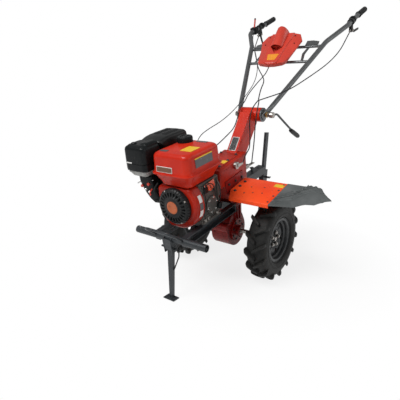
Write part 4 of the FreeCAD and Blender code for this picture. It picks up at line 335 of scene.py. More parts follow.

# %% [markdown]
# The machine wears few finishes: red enamel on the tank, shroud and column, with the shroud's copy of it
# darkened as painted shade, a deeper red on the castings, an orange red on the fenders, grey powder
# coat on the tubes, black paint and black plastic on the engine, rubber, zinc and bare castings.
# %% The finishes
RUST = (0.16, 0.07, 0.03)
DUST = (0.30, 0.26, 0.21)
make_finish("red_paint", (0.60, 0.026, 0.007), (0.46, 0.015, 0.005), (0.24, 0.36), coat=0.10, specular=0.18,
            patch=(0.38, 0.022, 0.012), patch_share=0.04, patch_size=130)
make_finish("orange_paint", (0.95, 0.094, 0.018), (0.84, 0.060, 0.012), (0.30, 0.42), coat=0.05,
            specular=0.15, patch=(0.55, 0.07, 0.03), patch_share=0.04, patch_size=110)
# The shroud's finish is the red enamel made darker: painted shade.
make_finish("shroud_red_painted_shade", (0.46, 0.020, 0.006), (0.28, 0.009, 0.004), (0.22, 0.34), coat=0.08, specular=0.16,
            patch=(0.20, 0.012, 0.008), patch_share=0.06, patch_size=90)
make_finish("gearbox_paint", (0.28, 0.010, 0.008), (0.16, 0.006, 0.005), (0.32, 0.46), coat=0.06,
            specular=0.18, patch=(0.08, 0.010, 0.009), patch_share=0.08, patch_size=70, grain=420,
            grain_depth=0.00012)
make_finish("gearbox_red", (0.46, 0.022, 0.008), (0.28, 0.012, 0.006), (0.28, 0.42), coat=0.08,
            specular=0.18, patch=(0.18, 0.014, 0.009), patch_share=0.06, patch_size=80, grain=420,
            grain_depth=0.0001)
make_finish("dark_steel", (0.040, 0.045, 0.050), (0.026, 0.030, 0.034), (0.34, 0.48), metal=0.25,
            patch=(0.09, 0.09, 0.09), patch_share=0.06, patch_size=140, grain=700)
make_finish("black_steel", (0.008, 0.0088, 0.0092), (0.014, 0.0148, 0.0152), (0.26, 0.42), specular=0.22,
            patch=(0.040, 0.040, 0.040), patch_share=0.04, patch_size=120, grain=600)
make_finish("grey_tube", (0.150, 0.155, 0.158), (0.105, 0.110, 0.113), (0.20, 0.32), metal=0.55,
            specular=0.5, patch=(0.22, 0.22, 0.22), patch_share=0.04, patch_size=160, grain=1200)
make_finish("wheel_paint", (0.030, 0.032, 0.034), (0.018, 0.020, 0.022), (0.34, 0.48), metal=0.2,
            patch=(0.09, 0.085, 0.08), patch_share=0.08, patch_size=90)
make_finish("bare_steel", (0.42, 0.40, 0.37), (0.30, 0.28, 0.26), (0.24, 0.38), metal=0.9, patch=RUST,
            patch_share=0.03, patch_size=110, grain=1500)
make_finish("cast_metal", (0.115, 0.108, 0.098), (0.075, 0.070, 0.063), (0.40, 0.56), metal=0.5,
            patch=(0.055, 0.050, 0.043), patch_share=0.06, patch_size=50, grain=380, grain_depth=0.00014)
make_finish("black_plastic", (0.0055, 0.0068, 0.0074), (0.010, 0.0112, 0.0118), (0.18, 0.30), specular=0.12,
            patch=(0.020, 0.020, 0.019), patch_share=0.05, patch_size=60, grain=1600, grain_depth=0.00003)
make_finish("grey_plastic", (0.36, 0.36, 0.34), (0.28, 0.28, 0.27), (0.4, 0.55), patch=DUST,
            patch_share=0.05, patch_size=80, grain=1400)
make_finish("red_plastic", (0.62, 0.052, 0.030), (0.50, 0.038, 0.022), (0.26, 0.36), coat=0.10,
            specular=0.45, patch=(0.46, 0.044, 0.030), patch_share=0.02, patch_size=60, grain=700,
            grain_depth=0.000002)
make_finish("tyre_rubber", (0.012, 0.012, 0.0115), (0.019, 0.0188, 0.018), (0.50, 0.70), specular=0.22,
            patch=(0.032, 0.030, 0.027), patch_share=0.08, patch_size=46, grain=900, grain_depth=0.00006)
make_finish("black_rubber", (0.010, 0.0105, 0.011), (0.018, 0.0185, 0.019), (0.40, 0.58), specular=0.25,
            patch=(0.032, 0.031, 0.030), patch_share=0.05, patch_size=70, grain=1100)
make_finish("flap_rubber", (0.135, 0.146, 0.146), (0.075, 0.083, 0.083), (0.34, 0.50), specular=0.35,
            patch=(0.13, 0.135, 0.13), patch_share=0.05, patch_size=60, grain=900)
make_finish("starter_orange", (0.55, 0.13, 0.035), (0.46, 0.10, 0.025), (0.4, 0.5), patch=(0.3, 0.1, 0.05),
            patch_share=0.08)
make_finish("label_yellow", (0.80, 0.52, 0.02), (0.74, 0.45, 0.015), (0.3, 0.4), patch=(0.6, 0.4, 0.08),
            patch_share=0.05)
make_finish("label_amber", (0.80, 0.30, 0.02), (0.72, 0.24, 0.015), (0.3, 0.4), patch=(0.6, 0.25, 0.05),
            patch_share=0.06)
make_finish("label_grey", (0.10, 0.10, 0.105), (0.07, 0.07, 0.075), (0.3, 0.4), patch=(0.2, 0.2, 0.2),
            patch_share=0.06)
make_finish("label_white", (0.78, 0.77, 0.74), (0.70, 0.69, 0.67), (0.3, 0.4), patch=(0.5, 0.48, 0.44),
            patch_share=0.06)
make_finish("label_black", (0.010, 0.010, 0.011), (0.016, 0.016, 0.017), (0.25, 0.35),
            patch=(0.04, 0.04, 0.04), patch_share=0.05)
make_finish("label_brown", (0.16, 0.07, 0.03), (0.12, 0.05, 0.022), (0.3, 0.4), patch=(0.2, 0.12, 0.06),
            patch_share=0.06)
make_finish("brass", (0.50, 0.32, 0.11), (0.38, 0.24, 0.08), (0.24, 0.36), metal=0.9,
            patch=(0.20, 0.12, 0.05), patch_share=0.05)
make_finish("chrome", (0.62, 0.61, 0.59), (0.52, 0.51, 0.50), (0.12, 0.2), metal=1.0,
            patch=(0.3, 0.27, 0.22), patch_share=0.03, grain=2000)
print("finishes:", len(finishes))

# %% [markdown]
# Every node of the model first gets the finish of its material slot, so that nothing is left
# plain whatever is replaced later.
# %% Finishes on the model's own nodes
special = {"gearbox_case": "gearbox_red", "fender_flap_left": "flap_rubber",
           "fender_flap_right": "flap_rubber"}
for node, solid in frame["nodes"].items():
    slot_name = solid.data.materials[0].name.split(".")[0]
    solid.data.materials[0] = finishes[special.get(node, slot_name)]
print("dressed", len(frame["nodes"]), "nodes")


# %% [markdown]
# ## Softer castings and folded metal
# The solids have knife edges. On the real machine every casting has a draft and a radius, and
# every fold of sheet has a bend. A copy of the solid with its loose triangles joined, its flat
# areas made single faces, and a Bevel on what is left sharp gives that, and stands for the node.
# %% Castings with rounded edges
home_of = {node: body for body, nodes in frame["record"]["behaviour"]["bodies"].items() for node in nodes}


def softened(node, width, change=None):
    """Copy of a node with flat triangles dissolved and edges over 28 degrees bevelled by width."""
    solid = frame["nodes"][node]
    mesh = solid.data.copy()
    shell = bmesh.new()
    shell.from_mesh(mesh)
    bmesh.ops.remove_doubles(shell, verts=shell.verts, dist=0.00002)
    bmesh.ops.dissolve_limit(shell, angle_limit=math.radians(0.8), verts=shell.verts, edges=shell.edges)
    shell.to_mesh(mesh)
    shell.free()
    if change is not None:
        places = np.empty(len(mesh.vertices) * 3, np.float32)
        mesh.vertices.foreach_get("co", places)
        changed = on_floor(change(on_machine(places.reshape(-1, 3))))
        mesh.vertices.foreach_set("co", changed.astype(np.float32).ravel())
    piece = bpy.data.objects.new(node + "_soft", mesh)
    bpy.context.scene.collection.objects.link(piece)
    mesh.shade_smooth()
    mesh.set_sharp_from_angle(angle=math.radians(38))
    bevel = piece.modifiers.new("edges", "BEVEL")
    bevel.width = width
    bevel.segments = 2
    bevel.limit_method = "ANGLE"
    bevel.angle_limit = math.radians(28)
    bevel.use_clamp_overlap = True
    bevel.harden_normals = True
    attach(piece, home_of[node])
    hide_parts(node)
    return piece


def slim_column(points):
    """The column's pressed box is drawn in to three quarters of its width, and the drum keeps its own."""
    share = np.where(np.abs(points[:, :1]) < 0.045, 0.74, 1.0)
    return points * np.hstack([share, np.ones((len(points), 2))])


def pear_housing(points):
    """Radius about the axle times 0.84 low down, rising smoothly to 1 where the neck begins."""
    rise = np.clip((points[:, 2:] - 0.045) / 0.060, 0, 1)
    share = 0.84 + 0.16 * rise * rise * (3 - 2 * rise)
    return points * np.hstack([np.ones_like(share), share, share])


reshaped = {"handle_column": slim_column, "final_drive": pear_housing}
soft_edges = {
    "handle_column": 0.005, "gearbox_case": 0.003, "final_drive": 0.0025, "engine_crankcase": 0.003,
    "clutch_housing": 0.004, "engine_frame": 0.0015, "stand_bracket": 0.0015, "stand_leg": 0.0015,
    "hitch_drawbar": 0.002, "stake_socket": 0.002, "drag_stake": 0.0015, "fender_bracket_left": 0.0012,
    "fender_bracket_right": 0.0012, "console_frame": 0.001, "cylinder_head": 0.0012, "clutch_arm": 0.0012,
    "shift_arm": 0.0012, "hand_lever_left": 0.0012, "hand_lever_right": 0.0012,
}
for node, width in soft_edges.items():
    piece = softened(node, width, change=reshaped.get(node))
    print(node, len(piece.data.polygons), "faces")


# %% [markdown]
# ## Fuel tank
# The tank is two pressed shells welded at a flange. Each level of it is a rectangle with round
# corners, so the tank is a stack of such outlines: tucked in below, widest at the flange, drawn
# in a little above and turned over into the crowned top.
# %% Fuel tank
def quarter(count):
    """Angles in equal steps over a quarter turn."""
    return np.linspace(0.0, math.pi / 2, count)


tank_low, tank_high = own_box("fuel_tank")
flange = 0.006
seam_up = 0.452
half_flange = 0.0024
body_low, body_high = tank_low[:2] + flange, tank_high[:2] - flange
top_up, base_up = tank_high[2], tank_low[2]
round_over = 0.022
turn = quarter(9)
levels = [(0.090, base_up + 0.001), (0.040, base_up)]
levels += [(0.034 - 0.010 * math.sin(a), base_up + 0.012 * (1 - math.cos(a))) for a in turn]
levels += [(0.015, base_up + 0.030), (0.005, seam_up - 0.014), (0.0015, seam_up - half_flange - 0.0035)]
levels += [(-0.001, seam_up - half_flange - 0.0006), (-flange, seam_up - half_flange),
           (-flange - 0.0002, seam_up), (-flange, seam_up + half_flange),
           (-0.001, seam_up + half_flange + 0.0006)]
levels += [(0.0005, seam_up + half_flange + 0.004), (0.0025, seam_up + 0.022)]
side_top = top_up - round_over - 0.0016
levels += [(0.005 + round_over * (1 - math.cos(a)), side_top + round_over * math.sin(a)) for a in turn]
levels += [(0.034, top_up - 0.0010), (0.060, top_up - 0.0005), (0.085, top_up - 0.0002), (0.094, top_up)]
tank = add_tube("tank_shell", stacked(body_low, body_high, levels, 0.034, 14), "chassis", "red_paint",
                replaces=("fuel_tank",))
print("tank", tank_low.round(3), tank_high.round(3))

# %% [markdown]
# The filler cap is a ribbed plastic disc. Its radius is a circle with a small cosine wave, which
# fades out on the rounded shoulder, so the grips are part of the surface.
# %% Filler cap
cap_low, cap_high = own_box("fuel_cap")
cap_centre = (cap_low + cap_high) / 2
cap_radius = (cap_high[0] - cap_low[0]) / 2
around = np.linspace(0, 2 * math.pi, 144, endpoint=False)
rise = np.array([0, 0, 0.2, 0.55, 0.8, 0.9, 0.97, 1.0, 1.0, 0.9, 0.9, 0.97, 1.0])
reach = np.array([0.5, 1, 1, 1, 0.99, 0.96, 0.90, 0.82, 0.62, 0.58, 0.34, 0.30, 0.1])
ribbed = np.array([0, 0.2, 1, 1, 1, 0.6, 0.1, 0, 0, 0, 0, 0, 0])
rib_count, rib_share = 24, 0.035
wave = 1 - rib_share * ribbed[:, None] * (0.5 - 0.5 * np.cos(around * rib_count)) ** 2
spread = cap_radius * reach[:, None] * wave
height = cap_low[2] + (cap_high[2] - cap_low[2]) * rise
cap_grid = np.stack([cap_centre[0] + spread * np.cos(around), cap_centre[1] + spread * np.sin(around),
                     np.broadcast_to(height[:, None], spread.shape)], -1)
cap = add_tube("filler_cap", cap_grid, "chassis", "black_plastic", replaces=("fuel_cap",))
print("cap radius", round(float(cap_radius), 4))

# %% [markdown]
# ## Air cleaner
# A moulded black case: upright walls, a wide chamfer round the top and a parting line a third of
# the way up. The tray below it is lighter and narrows to the carburettor.
# %% Air cleaner case and tray
case_low, case_high = own_box("air_cleaner")
wall_top = case_high[2] - 0.016
levels = [(0.05, case_low[2]), (0.004, case_low[2]), (0.001, case_low[2] + 0.003),
          (0.0, case_low[2] + 0.010), (0.0, case_low[2] + 0.034), (0.0022, case_low[2] + 0.0352),
          (0.0022, case_low[2] + 0.0382), (0.0, case_low[2] + 0.0394), (0.0015, wall_top - 0.012),
          (0.004, wall_top - 0.003), (0.0065, wall_top), (0.018, wall_top + 0.0085),
          (0.022, wall_top + 0.0098), (0.030, wall_top + 0.0102), (0.050, wall_top + 0.0104)]
case = add_tube("cleaner_case", stacked(case_low, case_high, levels, 0.024, 8), "chassis", "black_plastic",
                replaces=("air_cleaner",), sharp=28)
hump_low = np.array([case_high[0] - 0.060, case_low[1] + 0.030])
levels = [(0.0, wall_top - 0.010), (0.0, wall_top + 0.004), (0.004, wall_top + 0.0105),
          (0.011, wall_top + 0.0150), (0.016, wall_top + 0.0158)]
hump = add_tube("cleaner_hump", stacked(hump_low, case_high - 0.008, levels, 0.016, 8), "chassis",
                "black_plastic", sharp=28)
knob_place = np.array([case_low[0] + 0.042, case_low[1] + 0.040, 0.0])
knob = add_tube("cleaner_knob",
                turned([(wall_top + 0.006, 0.014), (wall_top + 0.0125, 0.0135), (wall_top + 0.0150, 0.0110),
                        (wall_top + 0.0158, 0.0040)], knob_place, "z", 28), "chassis", "black_plastic")
tray_low, tray_high = own_box("air_cleaner_tray")
levels = [(0.026, tray_low[2]), (0.020, tray_low[2]), (0.012, tray_low[2] + 0.003),
          (0.004, tray_high[2] - 0.014), (0.0005, tray_high[2] - 0.0085), (-0.002, tray_high[2] - 0.0075),
          (-0.002, tray_high[2] - 0.0005), (0.0, tray_high[2] + 0.0005), (0.012, tray_high[2] + 0.0005)]
tray = add_tube("cleaner_tray", stacked(tray_low, tray_high, levels, 0.022, 8), "chassis", "grey_plastic",
                replaces=("air_cleaner_tray",), sharp=28)
print("air cleaner", case_low.round(3), case_high.round(3))

# %% [markdown]
# ## Small parts in numbers
# Bolts, nuts and washers are one small turned shape each, copied to many places at once. Plates
# and stickers are thin slabs laid on a face by its centre and its two directions.
# %% Bolts, rods and plates
def hex_bolt(across, head, washer=0.0016):
    """Washer, hexagon and chamfered top, as rings of 24 points: the hexagon's radius is across / cosine."""
    angle = np.linspace(0, 2 * math.pi, 24, endpoint=False)
    flat = across / np.cos((angle + math.pi / 6) % (math.pi / 3) - math.pi / 6)
    flat = np.minimum(flat, across * 1.12)
    rings = [(across * 1.45, 0.0), (across * 1.45, washer), (flat, washer), (flat, washer + head * 0.85),
             (flat * 0.86, washer + head), (flat * 0.3, washer + head)]
    return np.array([np.column_stack([radius * np.cos(angle), radius * np.sin(angle), np.full(24, up)])
                     for radius, up in rings])


def round_pin(radius, height):
    """Short round stud with a chamfered end."""
    angle = np.linspace(0, 2 * math.pi, 20, endpoint=False)
    rings = [(1.0, -0.002), (1.0, height - radius * 0.25), (0.8, height), (0.2, height)]
    return np.array([np.column_stack([radius * reach * np.cos(angle), radius * reach * np.sin(angle),
                                      np.full(20, up)]) for reach, up in rings])


def add_rod(name, corners, radius, body, finish, bends=None, count=18, cap=0.6, **more):
    """Round rod along a bent path: its radius narrows to cap of itself over the last third of a radius."""
    bends = largest_radii(corners) if bends is None else bends
    path = bent_path(corners, bends) if len(corners) > 2 else np.asarray(corners, float)
    first = unit(path[1] - path[0])
    last = unit(path[-1] - path[-2])
    path = np.vstack([path[:1], path[:1] + first * radius * 0.35, path[1:-1],
                      path[-1:] - last * radius * 0.35, path[-1:]])
    reach = np.ones(len(path))
    reach[[0, -1]] = cap
    section = radius * reach[:, None, None] * circle(1.0, count)[None]
    reference = (1.0, 0.0, 0.0) if abs(unit(path[-1] - path[0])[0]) < 0.7 else (0.0, 0.0, 1.0)
    return add_tube(name, carried(path, section, reference), body, finish, **more)


def add_plate(name, centre, across, along, half, corner, thick, body, finish, **more):
    """Thin slab on a face: a round rectangle in the across and along directions, with its edge chamfered."""
    centre = np.asarray(centre, float)
    across = unit(np.asarray(across, float))
    along = unit(np.asarray(along, float))
    outward = np.cross(across, along)
    half = np.asarray(half, float)
    rings = []
    for inset, up in ((0.0, -thick), (0.0, thick * 0.6), (thick * 0.4, thick), (min(half) * 0.6, thick)):
        outline = round_rectangle(-half + inset, half - inset, max(corner - inset, 0.0002), 5)
        rings.append(centre + outline[:, :1] * across + outline[:, 1:] * along + up * outward)
    return add_tube(name, np.array(rings), body, finish, **more)


def closed_outline(corners, radii, steps=6):
    """Closed polygon with round corners: a bent path from the middle of the last side round to it again."""
    corners = np.asarray(corners, float)
    middle = (corners[-1] + corners[0]) / 2
    flat = np.column_stack([np.vstack([middle, corners, middle]), np.zeros(len(corners) + 2)])
    return bent_path(flat, radii, steps)[:-1, :2]


print("small parts ready")

# %% [markdown]
# ## Tyres
# The casing is a section turned about the axle: bead, sidewall with its rings, round shoulder and
# a crowned tread. The lugs are bars that start past the middle of the tread, sweep back towards
# the shoulder and run down the sidewall. Each lug is a trapezoid carried along that curve, and
# all of them are the same array turned about the axle.
# %% Tyres with chevron lugs
tyre_low, tyre_high = own_box("tyre_left")
wheel_out = (tyre_low[0] + tyre_high[0]) / 2
tyre_radius = (tyre_high[2] - tyre_low[2]) / 2
rim_low, rim_high = own_box("rim_left")
flange_radius = (rim_high[2] - rim_low[2]) / 2
casing = tyre_radius - 0.019
lug_count = 14
bead = flange_radius - 0.010
wall = np.array([(0.0345, bead), (0.0372, bead + 0.006), (0.0372, flange_radius + 0.002),
                 (0.041, flange_radius + 0.0045), (0.0425, flange_radius + 0.0035),
                 (0.0455, flange_radius + 0.0065), (0.0468, flange_radius + 0.0055),
                 (0.0500, flange_radius + 0.012), (0.0518, flange_radius + 0.018),
                 (0.0526, flange_radius + 0.024), (0.0514, flange_radius + 0.0245),
                 (0.0514, flange_radius + 0.0275), (0.0530, flange_radius + 0.0285),
                 (0.0530, flange_radius + 0.040), (0.0522, casing - 0.027), (0.0500, casing - 0.017),
                 (0.0455, casing - 0.009), (0.0385, casing - 0.0045), (0.0270, casing - 0.0018),
                 (0.0130, casing - 0.0004)])
inside = np.array([(0.0300, bead - 0.001), (0.0320, casing - 0.050), (0.0400, casing - 0.030),
                   (0.0300, casing - 0.014)])
mirror = np.array([-1.0, 1.0])
casing_profile = np.vstack([wall, [(0.0, casing)], wall[::-1] * mirror, inside * mirror,
                            [(0.0, casing - 0.011)], inside[::-1]])


def lug_bar():
    """One lug as stations of a trapezoid, from past the middle to the shoulder and down the wall."""
    across = np.array([-0.0065, -0.004, 0.004, 0.016, 0.028, 0.039, 0.0475, 0.0522, 0.0540, 0.0538, 0.0525])
    outer = tyre_radius - np.array([0.0035, 0.0008, 0.0, 0.0004, 0.0014, 0.0028, 0.0050, 0.0105, 0.0195,
                                    0.0300, 0.0370])
    inner = casing - np.array([0.006, 0.005, 0.005, 0.006, 0.007, 0.010, 0.014, 0.020, 0.026, 0.034, 0.040])
    sweep = np.array([0.0, 0.002, 0.007, 0.015, 0.024, 0.032, 0.038, 0.0415, 0.043, 0.044, 0.0445]) - 0.022
    half_top = np.array([0.0058, 0.0076, 0.0082, 0.0084, 0.0086, 0.0088, 0.0090, 0.0090, 0.0084,
                         0.0070, 0.0052])
    half_base = half_top + np.array([0.002, 0.0034, 0.004, 0.0042, 0.0042, 0.0044, 0.0046, 0.0046, 0.0036,
                                     0.0022, 0.001])
    inward = np.where(across > 0.05, 0.0085, 0.0)
    corners = [(-half_base, inner, inward), (-half_top - 0.0008, outer - 0.0035, 0 * inward),
               (-half_top + 0.0010, outer - 0.0004, 0 * inward), (0 * half_top, outer, 0 * inward),
               (half_top - 0.0010, outer - 0.0004, 0 * inward),
               (half_top + 0.0008, outer - 0.0035, 0 * inward), (half_base, inner, inward)]
    return np.stack([np.stack([across - back, radius, sweep + shift], -1)
                     for shift, radius, back in corners], 1)


def add_tyre(side):
    """Casing and both rows of lugs in one mesh; a lug's third coordinate is an arc length about the axle."""
    name = "left" if side > 0 else "right"
    centre = np.array([wheel_out * side, 0.0, 0.0])
    shell = turned(casing_profile, centre, "x", 112)
    wrapped = grid_faces(len(casing_profile) + 1, 112) % (len(casing_profile) * 112)
    points, faces = [shell.reshape(-1, 3)], wrapped.tolist()
    bar = lug_bar()
    stations, round_count = bar.shape[:2]
    for hand, first in ((1, 0.0), (-1, math.pi / lug_count)):
        angle = bar[..., 2] / tyre_radius + first
        turn = angle[None] + 2 * math.pi * np.arange(lug_count)[:, None, None] / lug_count
        radius = np.broadcast_to(bar[None, ..., 1], turn.shape)
        across = np.broadcast_to(bar[None, ..., 0] * hand, turn.shape)
        lugs = centre + np.stack([across, radius * np.sin(turn), radius * np.cos(turn)], -1)
        one = grid_faces(stations, round_count)
        start = sum(len(part) for part in points) + np.arange(lug_count) * stations * round_count
        faces += (one[None] + start[:, None, None]).reshape(-1, 4).tolist()
        faces += [list(range(a, a + round_count)) for a in start]
        faces += [list(range(a + (stations - 1) * round_count, a + stations * round_count)) for a in start]
        points.append(lugs.reshape(-1, 3))
    tyre = add_piece(f"tyre_shell_{name}", np.concatenate(points), faces, "wheels", "tyre_rubber",
                     replaces=(f"tyre_{name}",), sharp=32)
    return tyre


for side in (1, -1):
    print(add_tyre(side).name)

# %% [markdown]
# ## Rims and hubs
# The rim is rolled from sheet: flange, bead seat, drop centre. Its disc is pressed, so it rises
# and falls between the well and the hub. Five round holes are openings in the disc's own grid: the
# rings of the grid inside a hole are pulled to its edge, so the sheet is really pierced.
# %% Rims, discs and hubs
def wheel_ring(out, radius, angle):
    """Points at one distance out along the axle: radius times the sine and cosine of each angle."""
    return np.stack([np.full(len(angle), out), radius * np.sin(angle), radius * np.cos(angle)], -1)


def add_rim(side):
    """Rolled rim as a closed turned profile, and the disc as two skins joined round each hole."""
    name = "left" if side > 0 else "right"
    centre = np.array([wheel_out * side, 0.0, 0.0])
    edge = (rim_high[0] - rim_low[0]) / 2
    sheet = 0.003
    seat, well = flange_radius - 0.0145, flange_radius - 0.024
    outer = np.array([(edge + 0.001, flange_radius - 0.0005), (edge - 0.0022, flange_radius),
                      (edge - 0.0045, flange_radius - 0.003), (edge - 0.0048, seat + 0.002),
                      (edge - 0.007, seat), (0.0235, seat - 0.001), (0.0180, well + 0.001), (0.0140, well)])
    under = outer + np.array([(0.0006, -0.0022), (0.002, -0.003), (0.0028, -0.0012), (0.0028, -0.002),
                              (0.0, -sheet), (0.0, -sheet), (0.0, -sheet), (0.0, -sheet)])
    profile = np.vstack([outer, outer[::-1] * mirror, under * mirror, under[::-1]])
    rim = add_rings(f"rim_band_{name}", turned(profile, centre, "x", 96), "wheels", "wheel_paint",
                    replaces=(f"rim_{name}",))
    holes = 5
    steps = 40
    radii = np.array([0.022, 0.030, 0.044, 0.047, 0.051])
    rise = np.array([0.0150, 0.0150, 0.0150, 0.0162, 0.0200])
    last = well - sheet * 0.8
    ring_angle = np.linspace(0, 2 * math.pi, holes * steps, endpoint=False)
    inner_rings = [wheel_ring(up, radius, ring_angle) for radius, up in zip(radii, rise)]
    hole_radius, hole_circle = 0.013, 0.066
    local = (ring_angle * holes / (2 * math.pi)) % 1.0 - 0.5
    share = np.clip(np.abs(local) * 2 * math.pi / holes * hole_circle / hole_radius, 0, 1)
    arc = hole_radius * np.sqrt(np.clip(1 - share ** 2, 0, 1))
    near = hole_circle - np.where(share < 1, arc, 0.0)
    beyond = hole_circle + np.where(share < 1, arc, 0.0)
    bowl = 0.0225
    lower = wheel_ring(bowl, near, ring_angle)
    upper = wheel_ring(bowl - 0.0005, beyond, ring_angle)
    rim_edge = wheel_ring(0.0130, last, ring_angle)
    disc_sheet, set_back = 0.0028, 0.0045
    front = np.array(inner_rings + [lower, upper, rim_edge])
    back = front - np.array([disc_sheet, 0.0, 0.0])
    count = len(ring_angle)
    rows = len(front)
    skin = grid_faces(rows, count)
    gap_row = rows - 3
    row_of = np.repeat(np.arange(rows - 1), count)
    column_of = np.tile(np.arange(count), rows - 1)
    opened = (share < 1) | (np.roll(share, -1) < 1)
    pierced = (row_of == gap_row) & opened[column_of]
    kept = skin[~pierced]
    faces = kept.tolist() + (kept[:, ::-1] + rows * count).tolist()
    total = rows * count
    for ring in (0, rows - 1):
        a = ring * count + np.arange(count)
        b = ring * count + (np.arange(count) + 1) % count
        faces += np.stack([a, b, b + total, a + total], -1).tolist()
    for ring in (gap_row, gap_row + 1):
        a = ring * count + np.arange(count)[opened]
        b = ring * count + (np.arange(count)[opened] + 1) % count
        faces += np.stack([a, b, b + total, a + total], -1).tolist()
    points = np.concatenate([front.reshape(-1, 3), back.reshape(-1, 3)])
    points[:, 0] -= set_back
    points = centre + points * np.array([side, 1.0, 1.0])
    disc = add_piece(f"wheel_disc_{name}", points, faces, "wheels", "wheel_paint", sharp=40)
    return disc


def add_hub(side):
    """Turned hub sleeve and flange, five wheel bolts, and the bolt that locks the hub on the axle."""
    name = "left" if side > 0 else "right"
    low, high = own_box(f"wheel_hub_{name}")
    if side < 0:
        low, high = -high[0] * np.array([1, 0, 0]), -low[0] * np.array([1, 0, 0])
    flange = wheel_out + 0.012
    sleeve = 0.022
    profile = np.array([(low[0], 0.0125), (low[0], sleeve - 0.002), (low[0] + 0.002, sleeve),
                        (flange - 0.018, sleeve), (flange - 0.0085, sleeve + 0.004), (flange - 0.008, 0.044),
                        (flange - 0.0065, 0.0458), (flange - 0.0015, 0.0458), (flange, 0.044),
                        (flange, sleeve + 0.004), (flange + 0.004, sleeve + 0.001),
                        (high[0] - 0.002, sleeve), (high[0], sleeve - 0.002), (high[0], 0.0125)])
    hub = add_rings(f"hub_{name}", turned(profile * np.array([side, 1.0]), (0, 0, 0), "x", 48), "wheels",
                    "black_steel", replaces=(f"wheel_hub_{name}",))
    angle = 2 * math.pi * np.arange(5) / 5 + 0.3
    places = wheel_ring((flange + 0.0032) * side, 0.034, angle)
    bolts = add_copies(f"wheel_bolts_{name}", hex_bolt(0.0068, 0.0065), places, (side, 0, 0),
                       "wheels", "bare_steel")
    cross = np.array([[side * (wheel_out - 0.070), 0.0, -0.0235]])
    lock = add_copies(f"hub_pin_{name}", hex_bolt(0.0065, 0.006), -cross * np.array([-1, 1, 1]), (0, 0, 1),
                      "wheels", "bare_steel")
    return hub


for side in (1, -1):
    print(add_rim(side).name, add_hub(side).name)

# %% [markdown]
# ## Console cover
# The cover is a height over its own slope: steep sides, chamfers, a flat lower panel with a
# pointed recess, and two wings. Every row of the grid has its columns set on the creases, so the
# folds stay crisp: the crease lines are functions of the distance up the slope.
# %% Console cover and hood
console_low, console_high = own_box("console_cover")
depth = 0.034
slope = math.radians(37.78)
tip = np.array([0.0, console_low[1] + depth * math.sin(slope) * 0.55, console_low[2]])
uphill = np.array([0.0, math.cos(slope), math.sin(slope)])
outward = np.array([0.0, -math.sin(slope), math.cos(slope)])
grown = np.array([0.93, 0.248 / 0.226, 1.2])


def on_console(points):
    """Points (across, up the slope, off the underside), grown to the model's cover, as machine points."""
    points = np.asarray(points, float) * grown
    return tip + points[..., :1] * own_left + points[..., 1:2] * uphill + points[..., 2:] * outward


def cover_row(up, edge, crease, recess, floor, panel, rim):
    """One row from the middle to the edge: columns sit on the recess, the panel's crease and the rim."""
    stops = np.array([0.0, recess * 0.5, recess, recess + 0.0018, crease - 0.0012, crease + 0.0012,
                      edge - 0.0065, edge - 0.0020, edge, edge - 0.0008])
    heights = np.array([floor, floor, floor, panel, panel, panel - 0.0045, rim, rim - 0.0016,
                        rim - 0.0045, 0.001])
    right = np.column_stack([stops, np.full(10, up), heights])
    return np.vstack([right[:0:-1] * np.array([-1, 1, 1]), right])


panel_up = 0.0245
rows = []
stations = [0.0015, 0.0045, 0.010, 0.020, 0.035, 0.055, 0.0745, 0.0760, 0.080, 0.095, 0.110, 0.126, 0.128,
            0.150, 0.1765, 0.190, 0.205, 0.217, 0.2225, 0.2252]
for up in stations:
    edge = np.interp(up, [0.0, 0.012, 0.095, 0.177, 0.226], [0.016, 0.090, 0.1135, 0.137, 0.107])
    edge = max(edge, 0.022)
    crease = np.interp(up, [0.0, 0.012, 0.095, 0.126, 0.177, 0.226],
                       [0.010, 0.048, 0.056, 0.060, 0.074, 0.072])
    recess = float(np.clip(0.042 * (up - 0.0755) / 0.0505, 0.0006, 0.042))
    floor = panel_up - 0.0135 * np.interp(up, [0.0745, 0.079, 0.126, 0.128], [0.0, 1.0, 1.0, 0.0])
    dip = np.interp(up, [0.0, 0.006, 0.0125, 0.2175, 0.2252], [0.0070, 0.0020, 0.0, 0.0, 0.0062])
    sag = np.interp(up, [0.0, 0.03, 0.06, 0.098, 0.14, 0.226], [0.002, 0.008, 0.013, 0.0165, 0.0150, 0.0110])
    rows.append(cover_row(up, edge, crease, recess, floor - dip, panel_up - dip, panel_up - sag - dip))
grid = np.array(rows)
under = grid.copy()
under[..., 2] = 0.0003
under[..., 0] *= 0.97
loop = np.concatenate([grid, under[:, ::-1]], axis=1)
cover = add_tube("console_shell", on_console(loop), "handlebar", "red_plastic", replaces=("console_cover",),
                 sharp=11)

mouth, back_end = 0.116, 0.2245
hood_rows = []
half_turn = np.linspace(0, math.pi, 25)
for up, half, crown, base in ((mouth, 0.0405, 0.0335, 0.0165), (mouth + 0.0015, 0.0420, 0.0350, 0.0165),
                              (mouth + 0.0060, 0.0422, 0.0358, 0.0165), (0.160, 0.0416, 0.0425, 0.0165),
                              (0.200, 0.0408, 0.0485, 0.0160), (0.218, 0.0402, 0.0505, 0.0150),
                              (0.2225, 0.0392, 0.0492, 0.0140), (back_end, 0.0365, 0.0460, 0.0125)):
    lean = 0.010 * np.sin(half_turn) * (1.0 if up < 0.13 else 0.0)
    outer = np.column_stack([half * np.cos(half_turn), up - lean, base + crown * np.sin(half_turn)])
    wall = 0.0028
    inner = np.column_stack([(half - wall) * np.cos(half_turn[::-1]), up - lean,
                             base + (crown - wall) * np.sin(half_turn)])
    hood_rows.append(np.vstack([outer, inner]))
hood = add_tube("console_hood", on_console(np.array(hood_rows)), "handlebar", "red_plastic", sharp=30)
rear = np.column_stack([0.0385 * np.cos(half_turn), np.full(25, 0.2215), 0.015 + 0.0475 * np.sin(half_turn)])
